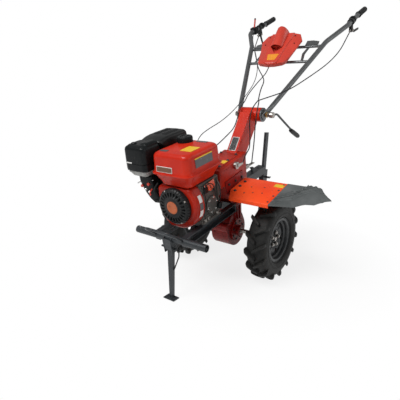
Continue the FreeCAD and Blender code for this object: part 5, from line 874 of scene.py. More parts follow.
rear_wall = add_tube("hood_rear_wall", on_console(np.array([rear, rear + np.array([0, 0.0022, 0])])),
                     "handlebar", "red_plastic")
# A black wall inside the red hood, as painted shade for its recess.
painted_shade_outline = np.column_stack([0.0385 * np.cos(half_turn), np.full(25, 0.165),
                              0.0150 + 0.038 * np.sin(half_turn)])
fill = add_tube("hood_painted_shade_wall", on_console(np.array([painted_shade_outline, painted_shade_outline + np.array([0, 0.003, 0])])),
                "handlebar", "black_plastic")
print("console", console_low.round(3), console_high.round(3))

# %% [markdown]
# The lower panel carries a plain amber sticker, screws hold the wings, and grey folded plates join
# the cover to the crossbars on both sides.
# %% Console sticker, screws and side plates
outline = np.array([(-0.026, 0.024), (0.026, 0.024), (0.038, 0.066), (-0.038, 0.066)])
patch = np.array([np.column_stack([outline, np.full(4, panel_up + lift)]) for lift in (-0.0006, 0.0006)])
sticker = add_tube("console_sticker", on_console(patch), "handlebar", "label_amber")
places = on_console([(0.098, 0.150, 0.0145), (-0.098, 0.150, 0.0145), (0.085, 0.200, 0.0180),
                     (-0.085, 0.200, 0.0180)])
screws = add_copies("console_screws", round_pin(0.0042, 0.0022), places, outward, "handlebar", "black_steel")

clamp_place = on_machine(joints["handle_tilt"]["pos_m"])[1:]
knee_place = np.array([0.758, 0.885])
lower_bar, upper_bar = (clamp_place + share * (knee_place - clamp_place) for share in (0.72, 0.94))


def folded_plate(name, outline, thick, body, finish, **more):
    """Flat plate: an outline in machine points, given its thickness straight up off its own plane."""
    outline = np.asarray(outline, float)
    normal = unit(np.cross(outline[1] - outline[0], outline[2] - outline[0]))
    inward = unit(outline.mean(0) - outline)
    rings = [outline - normal * thick / 2, outline + normal * thick / 2 * 0.6,
             outline + normal * thick / 2 + inward * thick * 0.3]
    return add_tube(name, np.array(rings), body, finish, **more)


for side in (1, -1):
    word = "left" if side > 0 else "right"
    out = np.array([side, 1.0, 1.0])
    plate = folded_plate(f"console_wing_{word}",
                         np.array([(0.128, upper_bar[0] - 0.004, upper_bar[1] + 0.0085),
                                   (0.205, upper_bar[0] - 0.002, upper_bar[1] + 0.0085),
                                   (0.200, upper_bar[0] + 0.030, upper_bar[1] + 0.024),
                                   (0.165, upper_bar[0] + 0.034, upper_bar[1] + 0.030),
                                   (0.128, upper_bar[0] + 0.030, upper_bar[1] + 0.030)]) * out, 0.003,
                         "handlebar", "grey_tube")
    strap = folded_plate(f"console_strap_{word}",
                         np.array([(0.142, upper_bar[0], upper_bar[1] - 0.004),
                                   (0.156, upper_bar[0], upper_bar[1] - 0.004),
                                   (0.146, (upper_bar[0] + lower_bar[0]) / 2, upper_bar[1] - 0.036),
                                   (0.156, lower_bar[0], lower_bar[1] + 0.004),
                                   (0.142, lower_bar[0], lower_bar[1] + 0.004),
                                   (0.130, (upper_bar[0] + lower_bar[0]) / 2, upper_bar[1] - 0.034)]) * out,
                         0.004, "handlebar", "grey_tube")
print("crossbars at", lower_bar.round(3), upper_bar.round(3))

# %% [markdown]
# ## Fenders and rubber flaps
# A fender is folded sheet with its inner front corner cut off: one bent section at three places
# across. The rubber flap is moulded: its top is a surface between the slanting front fold and the
# rear edge, with raised ribs that follow the fold. A skirt hangs from the fold and is deepest in
# the middle.
# %% Fenders and flaps
pitch_low, pitch_high = own_box("fender_left")
flap_low, flap_high = own_box("fender_flap_left")
pitch = math.radians(6.5)
wing_front, wing_rear = pitch_low[1] + 0.014, pitch_high[1] - 0.062
wing_up = (own_box("fender_bracket_left")[0][2] + own_box("fender_bracket_left")[1][2]) / 2 - 0.010
inner_edge, seam = pitch_low[0], pitch_high[0]


def seam_height(back):
    """Height of the sheet above the axle: it rises to the rear along the fender's pitch."""
    return wing_up + back * math.tan(pitch)


def wing_section(across, front):
    """Sheet cut at one place across: turned-down front lip, rounded folds, flat top and rear lip."""
    bend = np.array([0.0, 0.0008, 0.0026, 0.0048])
    top_back = np.concatenate([front + bend, wing_rear - bend[::-1]])
    drop = np.concatenate([bend[::-1], bend])
    outer = np.column_stack([top_back, seam_height(top_back) - drop])
    lips = np.array([[front, seam_height(front) - 0.019], [wing_rear, seam_height(wing_rear) - 0.019]])
    outer = np.vstack([lips[:1], outer, lips[1:]])
    inward = np.column_stack([np.linspace(0.0024, -0.0024, len(outer)), np.full(len(outer), -0.0024)])
    inward[[0, -1], 1] = 0.0
    loop = np.vstack([outer, (outer + inward)[::-1]])
    return np.column_stack([np.full(len(loop), across), loop])


def flap_surface(side):
    """Rows from the seam outwards; columns from the rear edge to the fold and down the skirt."""
    outer_edge = flap_high[0] + 0.010
    rib_pitch, rib_height, skirt_depth, flare_out, sheet = 0.0235, 0.0095, 0.052, 0.030, 0.0046
    reach = outer_edge - seam
    front, rear = wing_front + 0.001, wing_rear - 0.001
    run = rear - front
    out = np.concatenate([np.linspace(0, 0.56, 15), np.linspace(0.60, 0.90, 9), [0.93, 0.96, 0.985, 1.0]])
    fold = front + run * np.interp(out, [0, 0.36, 0.465, 0.577, 0.70, 0.833, 0.96, 1.0],
                                   [0, 0.33, 0.60, 0.73, 0.855, 0.955, 0.985, 0.992])
    fall = -0.057 * np.interp(out, [0, 0.60, 0.70, 0.765, 0.84, 0.90, 0.985, 1.0],
                              [0, 0.01, 0.03, 0.10, 0.38, 0.58, 0.90, 0.97])
    skirt = skirt_depth * np.interp(out, [0, 0.05, 0.35, 0.60, 0.75, 0.88, 0.96, 1.0],
                                    [0.06, 0.12, 0.55, 0.98, 0.90, 0.42, 0.14, 0.06])
    flare = flare_out * np.interp(out, [0, 0.3, 0.6, 0.9, 1.0], [0.1, 0.4, 0.95, 0.6, 0.1])
    depth = np.concatenate([np.linspace(0, 0.93, 46), [0.965, 0.985]])
    back = rear + (fold - rear)[:, None] * depth[None]
    across = seam + reach * out[:, None] + 0 * back
    from_fold = back - fold[:, None]
    wave = (from_fold - 0.010) / rib_pitch
    ridge = np.clip(1.6 * np.cos(2 * math.pi * (wave - 0.22)), -0.55, 0.62) + 0.55
    fade = np.clip((3.3 - wave) * 4, 0, 1) * np.clip(wave * 8, 0, 1)
    fade = fade * np.clip((0.93 - out) * 12, 0, 1)[:, None]
    fade = fade * np.clip(out * 14, 0, 1)[:, None]
    rise = rib_height * ridge * fade
    height = seam_height(back) + fall[:, None] * (1 - 0.10 * depth) + rise
    top = np.stack([across, back, height], -1)
    edge = np.stack([across[:, -1], fold, seam_height(fold) + fall * 0.9], -1)
    steps = np.array([[0.004, 0.001], [0.20, 0.10], [0.55, 0.45], [0.97, 0.97], [1.0, 1.0]])
    hang = [edge + np.column_stack([flare * grow, -0.012 * grow * np.clip(flare / flare_out, 0, 1),
                                    -0.003 - skirt * down]) for down, grow in steps]
    lip = hang[-1] + np.column_stack([0 * fold, 0.0042 + 0 * fold, 0.0006 + 0 * fold])
    inside = [hang[index] + np.column_stack([-0.0025 + 0 * fold, 0.0042 + 0 * fold, 0.0004 + 0 * fold])
              for index in (3, 2, 1, 0)]
    under = top[:, ::-1] - np.array([0.0, 0.0, sheet])
    under[:, 0] = under[:, 0] + np.array([0.0, 0.002, 0.0])
    loop = np.concatenate([top, edge[:, None], np.stack(hang, 1), lip[:, None], np.stack(inside, 1),
                           under], axis=1)
    loop[..., 0] = np.minimum(loop[..., 0], outer_edge)
    return loop * np.array([side, 1.0, 1.0])


for side, word in ((1, "left"), (-1, "right")):
    stations = [wing_section(inner_edge, wing_front + 0.066),
                wing_section(inner_edge + 0.031, wing_front + 0.001), wing_section(seam - 0.001, wing_front)]
    wing = add_tube(f"wing_{word}", np.array(stations) * np.array([side, 1.0, 1.0]), "chassis",
                    "orange_paint", replaces=(f"fender_{word}",), sharp=30)
    flap = add_tube(f"flap_{word}", flap_surface(side), "chassis", "flap_rubber", sharp=30,
                    replaces=(f"fender_flap_{word}",))
    backs = np.linspace(wing_front + 0.022, wing_rear - 0.022, 4)
    places = np.column_stack([np.full(4, (seam - 0.012) * side), backs, seam_height(backs) + 0.0002])
    studs = add_copies(f"flap_screws_{word}", round_pin(0.0048, 0.0026), places, (0, 0, 1),
                       "chassis", "dark_steel")
    backs = np.array([-0.080, -0.030, 0.020])
    places = np.column_stack([np.full(3, 0.110 * side), backs, seam_height(backs) + 0.0002])
    bolts = add_copies(f"fender_bolts_{word}", hex_bolt(0.0055, 0.0045), places, (0, 0, 1),
                       "chassis", "dark_steel")
    spots = np.array([(0.165, -0.085), (0.205, -0.070), (0.250, -0.060), (0.170, -0.020), (0.235, -0.005)])
    places = np.column_stack([spots[:, 0] * side, spots[:, 1], seam_height(spots[:, 1]) + 0.0002])
    rivets = add_copies(f"fender_rivets_{word}", round_pin(0.0036, 0.0016), places, (0, 0, 1),
                        "chassis", "dark_steel")
    label = add_plate(f"fender_label_{word}", (0.296 * side, 0.030, seam_height(0.030) + 0.0004),
                      (side, 0, 0), (0, side * math.cos(pitch), side * math.sin(pitch)), (0.024, 0.014),
                      0.002, 0.0004, "chassis", "label_yellow")
print("fenders", pitch_low.round(3), pitch_high.round(3), "flaps", flap_low.round(3), flap_high.round(3))

# %% [markdown]
# ## Fan shroud and recoil starter
# The shroud's front view is a polygon with round corners, and the same outline is repeated from
# back to front and drawn in over the last few millimetres. The starter is a turned dome whose
# radius line also depends on the angle: between two radii, a steep wave cuts the grille's slots.
# %% Shroud and starter
shroud_low, shroud_high = own_box("fan_shroud")
starter_low, starter_high = own_box("recoil_starter")
fan = (starter_low + starter_high) / 2
fan_radius = shroud_high[0] - fan[0]
angle = np.radians(np.arange(-84, 42, 6))
round_part = fan_radius * np.column_stack([np.cos(angle), np.sin(angle)])
top = shroud_high[2] - fan[2]
left_side = shroud_low[0] - fan[0]
corners = np.vstack([round_part,
                     [(fan_radius * 0.70, top), (left_side, top), (left_side, -fan_radius * 0.52),
                      (-fan_radius * 0.48, -fan_radius * 0.98)]])
radii = [0.05] * len(round_part) + [0.016, 0.020, 0.030, 0.030]
levels = [(0.0, 0.0), (0.0, 0.036), (-0.0012, 0.0364), (-0.0012, 0.0392), (0.0, 0.0396)]
levels += [(0.013 * (1 - math.cos(a)), 0.0445 + 0.013 * math.sin(a)) for a in quarter(7)]
levels += [(0.022, 0.0580)]
rings = []
for inset, ahead in levels:
    outline = closed_outline(corners, radii, 4)
    size = np.linalg.norm(outline, axis=1, keepdims=True)
    outline = outline * (size - inset) / size
    rings.append(np.column_stack([outline[:, 0] + fan[0], np.full(len(outline), shroud_high[1] - ahead),
                                  outline[:, 1] + fan[2]]))
# The shroud wears the red enamel darkened, which is painted shade.
shroud = add_tube("shroud_shell", np.array(rings), "chassis", "shroud_red_painted_shade",
                  replaces=("fan_shroud",), sharp=40)

steps = 288
angle = np.linspace(0, 2 * math.pi, steps, endpoint=False)
face = starter_high[1]
depth = starter_high[1] - starter_low[1]
radius = np.array([0.086, 0.086, 0.0850, 0.0820, 0.0800, 0.0780, 0.0740, 0.0725, 0.0700, 0.0600, 0.0490,
                   0.0470, 0.0440, 0.0410, 0.0385, 0.0375, 0.0360, 0.0340, 0.0310, 0.0300, 0.0285,
                   0.0150, 0.0040])
reach = np.array([0.0, 0.50, 0.60, 0.67, 0.74, 0.80, 0.83, 0.84, 0.85, 0.875, 0.885, 0.885, 0.890, 0.895,
                  0.905, 0.935, 0.94, 0.945, 0.955, 0.945, 0.93, 0.93, 0.93]) * depth
cut = np.interp(radius, [0.0500, 0.0530, 0.0690, 0.0710], [0.0, 1.0, 1.0, 0.0])
slot_count, slot_depth, rim_slot_count, rim_slot_depth = 24, 0.012, 36, 0.005
wave = np.clip(np.cos(angle * slot_count) * 3.0 + 0.6, 0, 1)
along = reach[:, None] - slot_depth * cut[:, None] * wave
rim_cut = np.interp(radius, [0.0781, 0.0801, 0.0851, 0.0861], [0.0, 1.0, 1.0, 0.0])
along = along - rim_slot_depth * rim_cut[:, None] * np.clip(np.cos(angle * rim_slot_count) * 2.5, 0, 1)
grid = np.stack([fan[0] + radius[:, None] * np.sin(angle), face - along,
                 fan[2] + radius[:, None] * np.cos(angle)], -1)
dome = add_tube("starter_dome", grid, "chassis", "black_steel", replaces=("recoil_starter",), sharp=38)
disc = add_tube("starter_badge", turned([(face - depth * 0.91, 0.0300), (face - depth * 0.965, 0.0296),
                                         (face - depth * 0.985, 0.0280), (face - depth * 0.985, 0.0210),
                                         (face - depth * 0.975, 0.0200), (face - depth * 0.975, 0.0030)],
                                        (fan[0], 0, fan[2]), "y", 48), "chassis", "starter_orange")
spokes = 2 * math.pi * np.arange(4) / 4 + 0.5
places = np.column_stack([fan[0] + 0.079 * np.cos(spokes), np.full(4, face - depth * 0.60),
                          fan[2] + 0.079 * np.sin(spokes)])
bolts = add_copies("starter_bolts", hex_bolt(0.0042, 0.004), places, (0, -1, 0), "chassis", "bare_steel")

for index, (low, high, kind) in enumerate(((0.020, 0.052, "label_white"), (-0.050, -0.018, "label_white"),
                                           (-0.014, 0.016, "label_grey"))):
    turn = np.arcsin(np.linspace(low, high, 8) / fan_radius)
    rings = []
    for lift, inset in ((-0.001, 0.0), (0.0005, 0.0), (0.0008, 0.001)):
        spread = np.concatenate([turn, turn[::-1]])
        back = np.concatenate([np.full(8, shroud_high[1] - 0.010 - inset),
                               np.full(8, shroud_high[1] - 0.032 + inset)])
        rings.append(np.column_stack([fan[0] + (fan_radius + lift) * np.cos(spread), back,
                                      fan[2] + (fan_radius + lift) * np.sin(spread)]))
    label = add_tube(f"shroud_label_{index}", np.array(rings), "chassis", kind)
handle_place = np.array([shroud_low[0] - 0.004, shroud_low[1] + 0.020, fan[2] + 0.040])
pull = add_rod("pull_handle",
               [handle_place + np.array([-0.012, -0.004, -0.030]),
                handle_place + np.array([-0.012, -0.004, 0.022])], 0.0085, "chassis", "black_plastic")
cord = add_rod("pull_socket",
               [handle_place + np.array([0.012, -0.002, -0.004]),
                handle_place + np.array([-0.010, -0.004, -0.004])], 0.0062, "chassis", "black_plastic")
print("shroud", shroud_low.round(3), shroud_high.round(3))

# %% [markdown]
# ## Crankcase side
# The side that faces the left wheel carries cast ribs, the bolts of its round cover, the drain and
# filler plugs, the oil sensor, the governor's plate and three wires. Four bolts hold it down.
# %% Crankcase details
case_low, case_high = own_box("engine_crankcase")
side_face = 0.092
case_ribs = ((-0.332, 0.212, 0.382), (-0.205, 0.225, 0.380), (-0.318, 0.330, 0.378), (-0.232, 0.322, 0.384))
for index, (back, low, high) in enumerate(case_ribs):
    outline = round_rectangle(np.array([back - 0.003, low]), np.array([back + 0.003, high]), 0.0028, 4)
    rings = [np.column_stack([np.full(len(outline), side_face + out), outline]) for out in (-0.003, 0.004)]
    middle = outline.mean(0)
    tip_ring = np.column_stack([np.full(len(outline), side_face + 0.006),
                                middle + (outline - middle) * [0.5, 0.985]])
    rib = add_tube(f"case_rib_{index}", np.array(rings + [tip_ring]), "chassis", "cast_metal")
cover_back, cover_up = -0.262, 0.268
ring_angle = 2 * math.pi * np.arange(6) / 6 + 0.2
places = np.column_stack([np.full(6, 0.100), cover_back + 0.036 * np.cos(ring_angle),
                          cover_up + 0.036 * np.sin(ring_angle)])
bolts = add_copies("side_cover_bolts", hex_bolt(0.0045, 0.004), places, (1, 0, 0), "chassis", "chrome")
plug = add_copies("drain_plug", hex_bolt(0.0085, 0.010, 0.003), [(side_face, -0.300, 0.216)], (1, 0, 0),
                  "chassis", "bare_steel")
dip = add_tube("filler_plug",
               turned([(side_face - 0.004, 0.014), (side_face + 0.012, 0.014), (side_face + 0.014, 0.017),
                       (side_face + 0.022, 0.017), (side_face + 0.024, 0.014), (side_face + 0.024, 0.003)],
                      (0, -0.212, 0.246), "x", 28), "chassis", "black_plastic")
sensor = add_tube("oil_sensor",
                  stacked((side_face - 0.004, -0.318), (side_face + 0.012, -0.286),
                          [(0.0, 0.340), (0.0, 0.366), (0.002, 0.368), (0.006, 0.368)], 0.003, 4), "chassis",
                  "black_plastic")
governor = folded_plate("governor_plate",
                        [(side_face + 0.006, -0.312, 0.376), (side_face + 0.006, -0.236, 0.386),
                         (side_face + 0.006, -0.226, 0.352), (side_face + 0.006, -0.262, 0.336),
                         (side_face + 0.006, -0.296, 0.352)], 0.0022, "chassis", "chrome")
wire_routes = (
    [(0.096, -0.300, 0.366), (0.110, -0.290, 0.385), (0.112, -0.262, 0.372), (0.104, -0.240, 0.330),
     (0.099, -0.228, 0.300)],
    [(0.098, -0.312, 0.345), (0.108, -0.318, 0.320), (0.104, -0.330, 0.270), (0.097, -0.326, 0.232)],
    [(0.100, -0.216, 0.368), (0.116, -0.214, 0.340), (0.112, -0.206, 0.300), (0.100, -0.204, 0.262)],
)
for index, route in enumerate(wire_routes):
    wire = add_rod(f"engine_wire_{index}", route, 0.0024, "chassis", "black_rubber", count=10)
places = [(out, back, 0.2075) for out in (0.094, -0.086) for back in (-0.222, -0.318)]
mounting = add_copies("engine_bolts", hex_bolt(0.0075, 0.007), places, (0, 0, 1), "chassis", "bare_steel")
print("crankcase", case_low.round(3), case_high.round(3))

# %% [markdown]
# ## Carburettor, intake and heat guard
# Under the air cleaner a black duct narrows and bends in to the carburettor, which has its bowl,
# choke lever and fuel pipe. The heat guard over the muffler has a visor that reaches forward.
# %% Intake, carburettor and guard
duct_path = np.array([(-0.164, -0.378, 0.424), (-0.165, -0.376, 0.400), (-0.160, -0.372, 0.374),
                      (-0.150, -0.368, 0.346), (-0.138, -0.364, 0.318), (-0.126, -0.362, 0.298),
                      (-0.116, -0.360, 0.286)])
share = np.linspace(0, 1, len(duct_path))
wide = np.interp(share, [0, 0.2, 0.6, 0.9, 1], [0.040, 0.038, 0.034, 0.022, 0.012])
deep = np.interp(share, [0, 0.2, 0.6, 0.9, 1], [0.034, 0.036, 0.034, 0.026, 0.014])
sections = np.array([round_rectangle((-w, -d), (w, d), min(w, d) * 0.45, 6) for w, d in zip(wide, deep)])
duct = add_tube("intake_duct", carried(duct_path, sections, (0, 1, 0)), "chassis", "black_plastic",
                replaces=("carburettor",), sharp=45)
body_grid = turned([(-0.318, 0.019), (-0.332, 0.021), (-0.336, 0.026), (-0.344, 0.026), (-0.348, 0.020),
                    (-0.372, 0.018)], (-0.150, 0, 0.330), "y", 28)
throat = add_tube("carburettor_throat", body_grid, "chassis", "cast_metal")
bowl = add_tube("float_bowl", turned([(0.270, 0.006), (0.272, 0.016), (0.276, 0.0195), (0.300, 0.0205),
                                      (0.303, 0.0225), (0.308, 0.0225), (0.309, 0.012)], (-0.148, -0.340, 0),
                                     "z", 28), "chassis", "cast_metal")
small_rods = (
    ("choke_lever", 0.0030, "chrome",
     [(-0.176, -0.404, 0.392), (-0.200, -0.408, 0.388), (-0.214, -0.410, 0.380)]),
    ("fuel_lever", 0.0034, "red_plastic",
     [(-0.130, -0.404, 0.362), (-0.140, -0.412, 0.350), (-0.136, -0.416, 0.330)]),
    ("fuel_pipe", 0.0038, "black_rubber",
     [(-0.100, -0.392, 0.392), (-0.112, -0.404, 0.372), (-0.122, -0.404, 0.352), (-0.130, -0.392, 0.336)]),
    ("choke_rod", 0.0018, "chrome",
     [(-0.120, -0.398, 0.404), (-0.150, -0.406, 0.400), (-0.182, -0.404, 0.396)]),
    ("governor_rod", 0.0016, "chrome",
     [(-0.160, -0.330, 0.372), (-0.120, -0.352, 0.388), (-0.060, -0.345, 0.394)]),
)
for name, thick, kind, route in small_rods:
    line = add_rod(name, route, thick, "chassis", kind, count=12)
lever_tip = add_copies("choke_knob", round_pin(0.0070, 0.008),
                       [(-0.186, -0.408, 0.372), (-0.142, -0.410, 0.386)], (0, -1, 0), "chassis",
                       "red_plastic")
screws = add_copies("carburettor_screws", hex_bolt(0.0045, 0.005),
                    [(-0.168, -0.402, 0.408), (-0.146, -0.402, 0.404), (-0.170, -0.404, 0.356),
                     (-0.150, -0.404, 0.344)], (0, -1, 0), "chassis", "chrome")

guard_low, guard_high = own_box("heat_guard")
guard_top = guard_high[2]
front, rear = guard_low[1] + 0.010, guard_high[1]
base = guard_low[2]


def guard_shell():
    """Side profile carried across: each station has a distance out, a pull inwards and a drop of its top."""
    profile = np.array([(rear, base), (rear, guard_top - 0.030), (rear - 0.004, guard_top - 0.012),
                        (rear - 0.014, guard_top - 0.003), (rear - 0.028, guard_top),
                        (front + 0.070, guard_top), (front + 0.030, guard_top - 0.001),
                        (front + 0.002, guard_top - 0.004), (front - 0.022, guard_top - 0.012),
                        (front - 0.026, guard_top - 0.018), (front - 0.018, guard_top - 0.024),
                        (front - 0.004, guard_top - 0.034), (front, guard_top - 0.050), (front, base)])
    left, right = guard_low[0], guard_high[0]
    middle_back = -0.245
    rings = []
    for out, pull, drop in ((0.0, 0.016, 0.014), (0.0025, 0.008, 0.007), (0.008, 0.002, 0.002),
                            (0.016, 0.0, 0.0), (0.064, -0.002, -0.001), (0.112, 0.0, 0.0),
                            (0.120, 0.002, 0.002), (0.1255, 0.008, 0.007), (right - left, 0.016, 0.014)):
        shape = profile.copy()
        high = np.clip((shape[:, 1] - base) / (guard_top - base), 0, 1)
        shape[:, 0] = shape[:, 0] + np.where(shape[:, 0] < middle_back, pull, -pull)
        visor = np.clip((front - shape[:, 0]) / 0.026, 0, 1) * (0.012 * (1 - ((out - 0.060) / 0.064) ** 2))
        shape[:, 0] -= visor
        shape[:, 1] -= drop * high
        rings.append(np.column_stack([np.full(len(shape), left + out), shape]))
    return np.array(rings)


guard = add_tube("guard_shell", guard_shell(), "chassis", "black_steel", replaces=("heat_guard",), sharp=26)
slot_backs = np.linspace(front + 0.052, rear - 0.040, 7)
for row_index, centre_x in enumerate((-0.200, -0.152)):
    outline = round_rectangle((-0.017, -0.0030), (0.017, 0.0030), 0.0028, 4)
    shape = np.array([np.column_stack([outline * grow, np.full(len(outline), up)])
                      for grow, up in ((1.0, -0.002), (1.0, 0.0012), (0.8, 0.0026), (0.4, 0.0028))])
    places = np.column_stack([np.full(7, centre_x), slot_backs, np.full(7, guard_top)])
    louvres = add_copies(f"guard_louvres_{row_index}", shape, places, (0, 0, 1), "chassis",
                         "black_steel")
softened("muffler", 0.002)
print("guard", guard_low.round(3), guard_high.round(3))

# %% [markdown]
# ## Handlebar
# Each tube is a circle carried along the same bends as the solid. Its foot is a pressed eye: the
# circle becomes a flat oval towards the drum, where the clamp bolt passes through it.
# %% Handlebar tubes and clamp discs
tilt = on_machine(joints["handle_tilt"]["pos_m"])
tube_radius = 0.0135
handle_line = np.array([(0.081, tilt[1], tilt[2]), (0.240, 0.758, 0.885), (0.322, 0.885, 0.962),
                        (0.312, 1.058, 1.001), (0.312, 1.212, 1.035)])


def tube_stations(side):
    """Centre line and section of a tube: near the foot the circle's halves are scaled to a flat oval."""
    path = bent_path(handle_line, (0.120, 0.085, 0.170), 13)
    start = path[0]
    lead = unit(path[1] - path[0])
    extra = start + lead * np.array([-0.026, -0.022, -0.010, 0.004, 0.020, 0.036, 0.052, 0.070])[:, None]
    path = np.vstack([extra, path[1:]])
    flat = np.ones((len(path), 2))
    flat[:8, 0] = [0.30, 0.42, 0.42, 0.42, 0.46, 0.62, 0.86, 1.0]
    flat[:8, 1] = [0.90, 1.42, 1.46, 1.46, 1.42, 1.28, 1.10, 1.0]
    section = tube_radius * circle(1.0, 28)[None] * flat[:, None]
    return carried(path, section, (0.0, 0.75, -1.0)) * np.array([side, 1.0, 1.0])


for side, word in ((1, "left"), (-1, "right")):
    bar = add_tube(f"tube_{word}", tube_stations(side), "handlebar", "grey_tube",
                   replaces=(f"handlebar_{word}",))
    profile = np.array([(0.0665, 0.010), (0.0665, 0.036), (0.0680, 0.0378), (0.0720, 0.0378),
                        (0.0735, 0.036), (0.0735, 0.010)])
    plate = add_tube(f"clamp_disc_{word}",
                     turned(profile * np.array([side, 1.0]), tilt * np.array([0, 1, 1]), "x", 48),
                     "handlebar", "grey_tube")
    teeth_angle = np.linspace(0, 2 * math.pi, 240, endpoint=False)
    tooth_count, tooth_height = 40, 0.0012
    teeth = 0.0365 + tooth_height * np.sign(np.cos(teeth_angle * tooth_count))
    rings = [np.column_stack([np.full(240, out * side), tilt[1] + (teeth - cut) * np.cos(teeth_angle),
                              tilt[2] + (teeth - cut) * np.sin(teeth_angle)])
             for out, cut in ((0.0592, 0.003), (0.0600, 0.0), (0.0655, 0.0))]
    ring = add_tube(f"drum_teeth_{word}", np.array(rings), "chassis", "red_paint")
print("tubes start at", handle_line[0].round(3), "and end at", handle_line[-1].round(3))

# %% [markdown]
# The grips are moulded rubber: a turned profile with finger ribs along the run of the tube. The
# throttle block, the perches and the hand levers ride on the same straight run.
# %% Grips, throttle and levers
def run_point(side, along, drop=0.0, out=0.0):
    """Place on the straight run under the grips: along it, below it and beside it."""
    start, end = handle_line[2] * [side, 1, 1], handle_line[3] * [side, 1, 1]
    direction = unit(end - start)
    beside = unit(np.cross(direction, [0.0, 0.0, 1.0]))
    upright = np.cross(beside, direction)
    return start + direction * along - upright * drop + beside * out


for side, word in ((1, "left"), (-1, "right")):
    end = handle_line[4] * np.array([side, 1.0, 1.0])
    direction = unit((handle_line[4] - handle_line[3]) * np.array([side, 1.0, 1.0]))
    along = np.concatenate([[0.0, 0.0, 0.0030, 0.0048, 0.0062], np.linspace(0.0075, 0.121, 92),
                            [0.1240, 0.1275, 0.1305, 0.1325, 0.1330]])
    rib_pitch, rib_height = 0.0085, 0.0011
    ribbed = (along > 0.012) & (along < 0.116)
    reach = 0.0155 + rib_height * np.sign(np.cos(2 * math.pi * along / rib_pitch)) * ribbed
    reach[:5] = [0.0140, 0.0182, 0.0192, 0.0186, 0.0160]
    reach[-5:] = [0.0166, 0.0166, 0.0150, 0.0110, 0.0030]
    path = end - direction * 0.128 + direction * along[:, None]
    section = reach[:, None, None] * circle(1.0, 32)[None]
    sides = unit(np.cross(direction, [0.0, 0.0, 1.0]))
    upright = np.cross(sides, direction)
    grid = path[:, None] + section[..., :1] * sides + section[..., 1:] * upright
    grip = add_tube(f"rubber_grip_{word}", grid, "handlebar", "black_rubber",
                    replaces=(f"grip_{word}",), sharp=30)
softened("throttle_block", 0.0015)
lever = add_rod("throttle_lever_cover", [run_point(-1, 0.057, -0.012), run_point(-1, 0.086, -0.068)], 0.0052,
                "handlebar", "red_plastic")
for side, along, word in ((1, 0.048, "left"), (-1, 0.120, "right")):
    pivots = add_copies(f"lever_pivot_{word}", hex_bolt(0.0058, 0.005),
                        [run_point(side, along, 0.044, 0.0078)],
                        unit(run_point(side, along, 0.044, 0.02) - run_point(side, along, 0.044)),
                        "handlebar", "bare_steel")
    screw = add_rod(f"perch_barrel_{word}",
                    [run_point(side, along - 0.016, 0.038), run_point(side, along - 0.036, 0.042)], 0.0052,
                    "handlebar", "bare_steel")
    switch = add_rod(f"switch_body_{word}",
                     [run_point(side, along + 0.020, -0.004), run_point(side, along + 0.046, -0.004)],
                     0.0215, "handlebar", "black_plastic", cap=0.85)
print("grip line starts at", run_point(1, 0.0).round(3))

# %% [markdown]
# The clamp crank is a zinc hub with a dark bent rod and a rubber-coated end. The rod is a circle
# carried with round bends from the tilt axis to the end of the solid's box, and the grip is a
# profile set along its last run. The clamp's spindle and its nuts sit on the tilt axis.
# %% Clamp crank and tilt bolt
crank_low, crank_high = own_box("clamp_crank")
out = (crank_low[0] + crank_high[0]) / 2
hub = np.array([out, tilt[1], tilt[2]])
tip_back, tip_up = crank_high[1] - 0.006, crank_low[2] + 0.008
crank_line = np.array([hub + [0, 0.006, 0.0], hub + [0, 0.062, -0.008], [out, 0.500, 0.456],
                       [out, tip_back - 0.060, tip_up + 0.036], [out, tip_back, tip_up]])
rod_piece = add_rod("crank_rod", crank_line[:4], 0.0058, "handlebar", "dark_steel", bends=(0.05, 0.12),
                    replaces=("clamp_crank",))
direction = unit(crank_line[4] - crank_line[3])
along = np.array([-0.064, -0.062, -0.056, -0.020, 0.030, 0.054, 0.064, 0.068, 0.069])
reach = np.array([0.006, 0.0105, 0.0120, 0.0135, 0.0135, 0.0132, 0.0110, 0.0065, 0.002])
sides = np.array([1.0, 0.0, 0.0])
upright = np.cross(sides, direction)
section = reach[:, None, None] * circle(1.0, 24)[None]
grip_line = crank_line[3] + direction * along[:, None]
grid = grip_line[:, None] + section[..., :1] * sides + section[..., 1:] * upright
grip = add_tube("crank_grip", grid, "handlebar", "black_rubber")
boss = add_tube("crank_hub", turned([(out - 0.012, 0.009), (out - 0.012, 0.0140), (out - 0.010, 0.0155),
                                     (out + 0.010, 0.0155), (out + 0.0125, 0.0140), (out + 0.0125, 0.003)],
                                    hub * np.array([0, 1, 1]), "x", 32), "handlebar", "bare_steel")
spindle = add_tube("clamp_spindle", turned([(-0.1000, 0.004), (-0.1000, 0.0076), (0.1085, 0.0076),
                                            (0.1085, 0.003)], hub * np.array([0, 1, 1]), "x", 24),
                   "handlebar", "bare_steel", replaces=("tilt_bolt",))
for name, low, high, radius in (("clamp_nut", 0.0880, 0.0975, 0.0150),
                                ("clamp_collar", 0.0975, 0.1085, 0.0120),
                                ("clamp_head", -0.1005, -0.0905, 0.0140)):
    six = np.linspace(0, 2 * math.pi, 24, endpoint=False)
    shape = radius * 0.87 / np.cos((six + math.pi / 6) % (math.pi / 3) - math.pi / 6)
    rings = [np.column_stack([np.full(24, x), hub[1] + shape * k * np.cos(six),
                              hub[2] + shape * k * np.sin(six)])
             for x, k in ((low, 0.9), (low + 0.001, 1.0), (high - 0.001, 1.0), (high, 0.9))]
    nut = add_tube(name, np.array(rings), "handlebar", "brass" if name == "clamp_nut" else "bare_steel")
print("handles on", tilt.round(3))
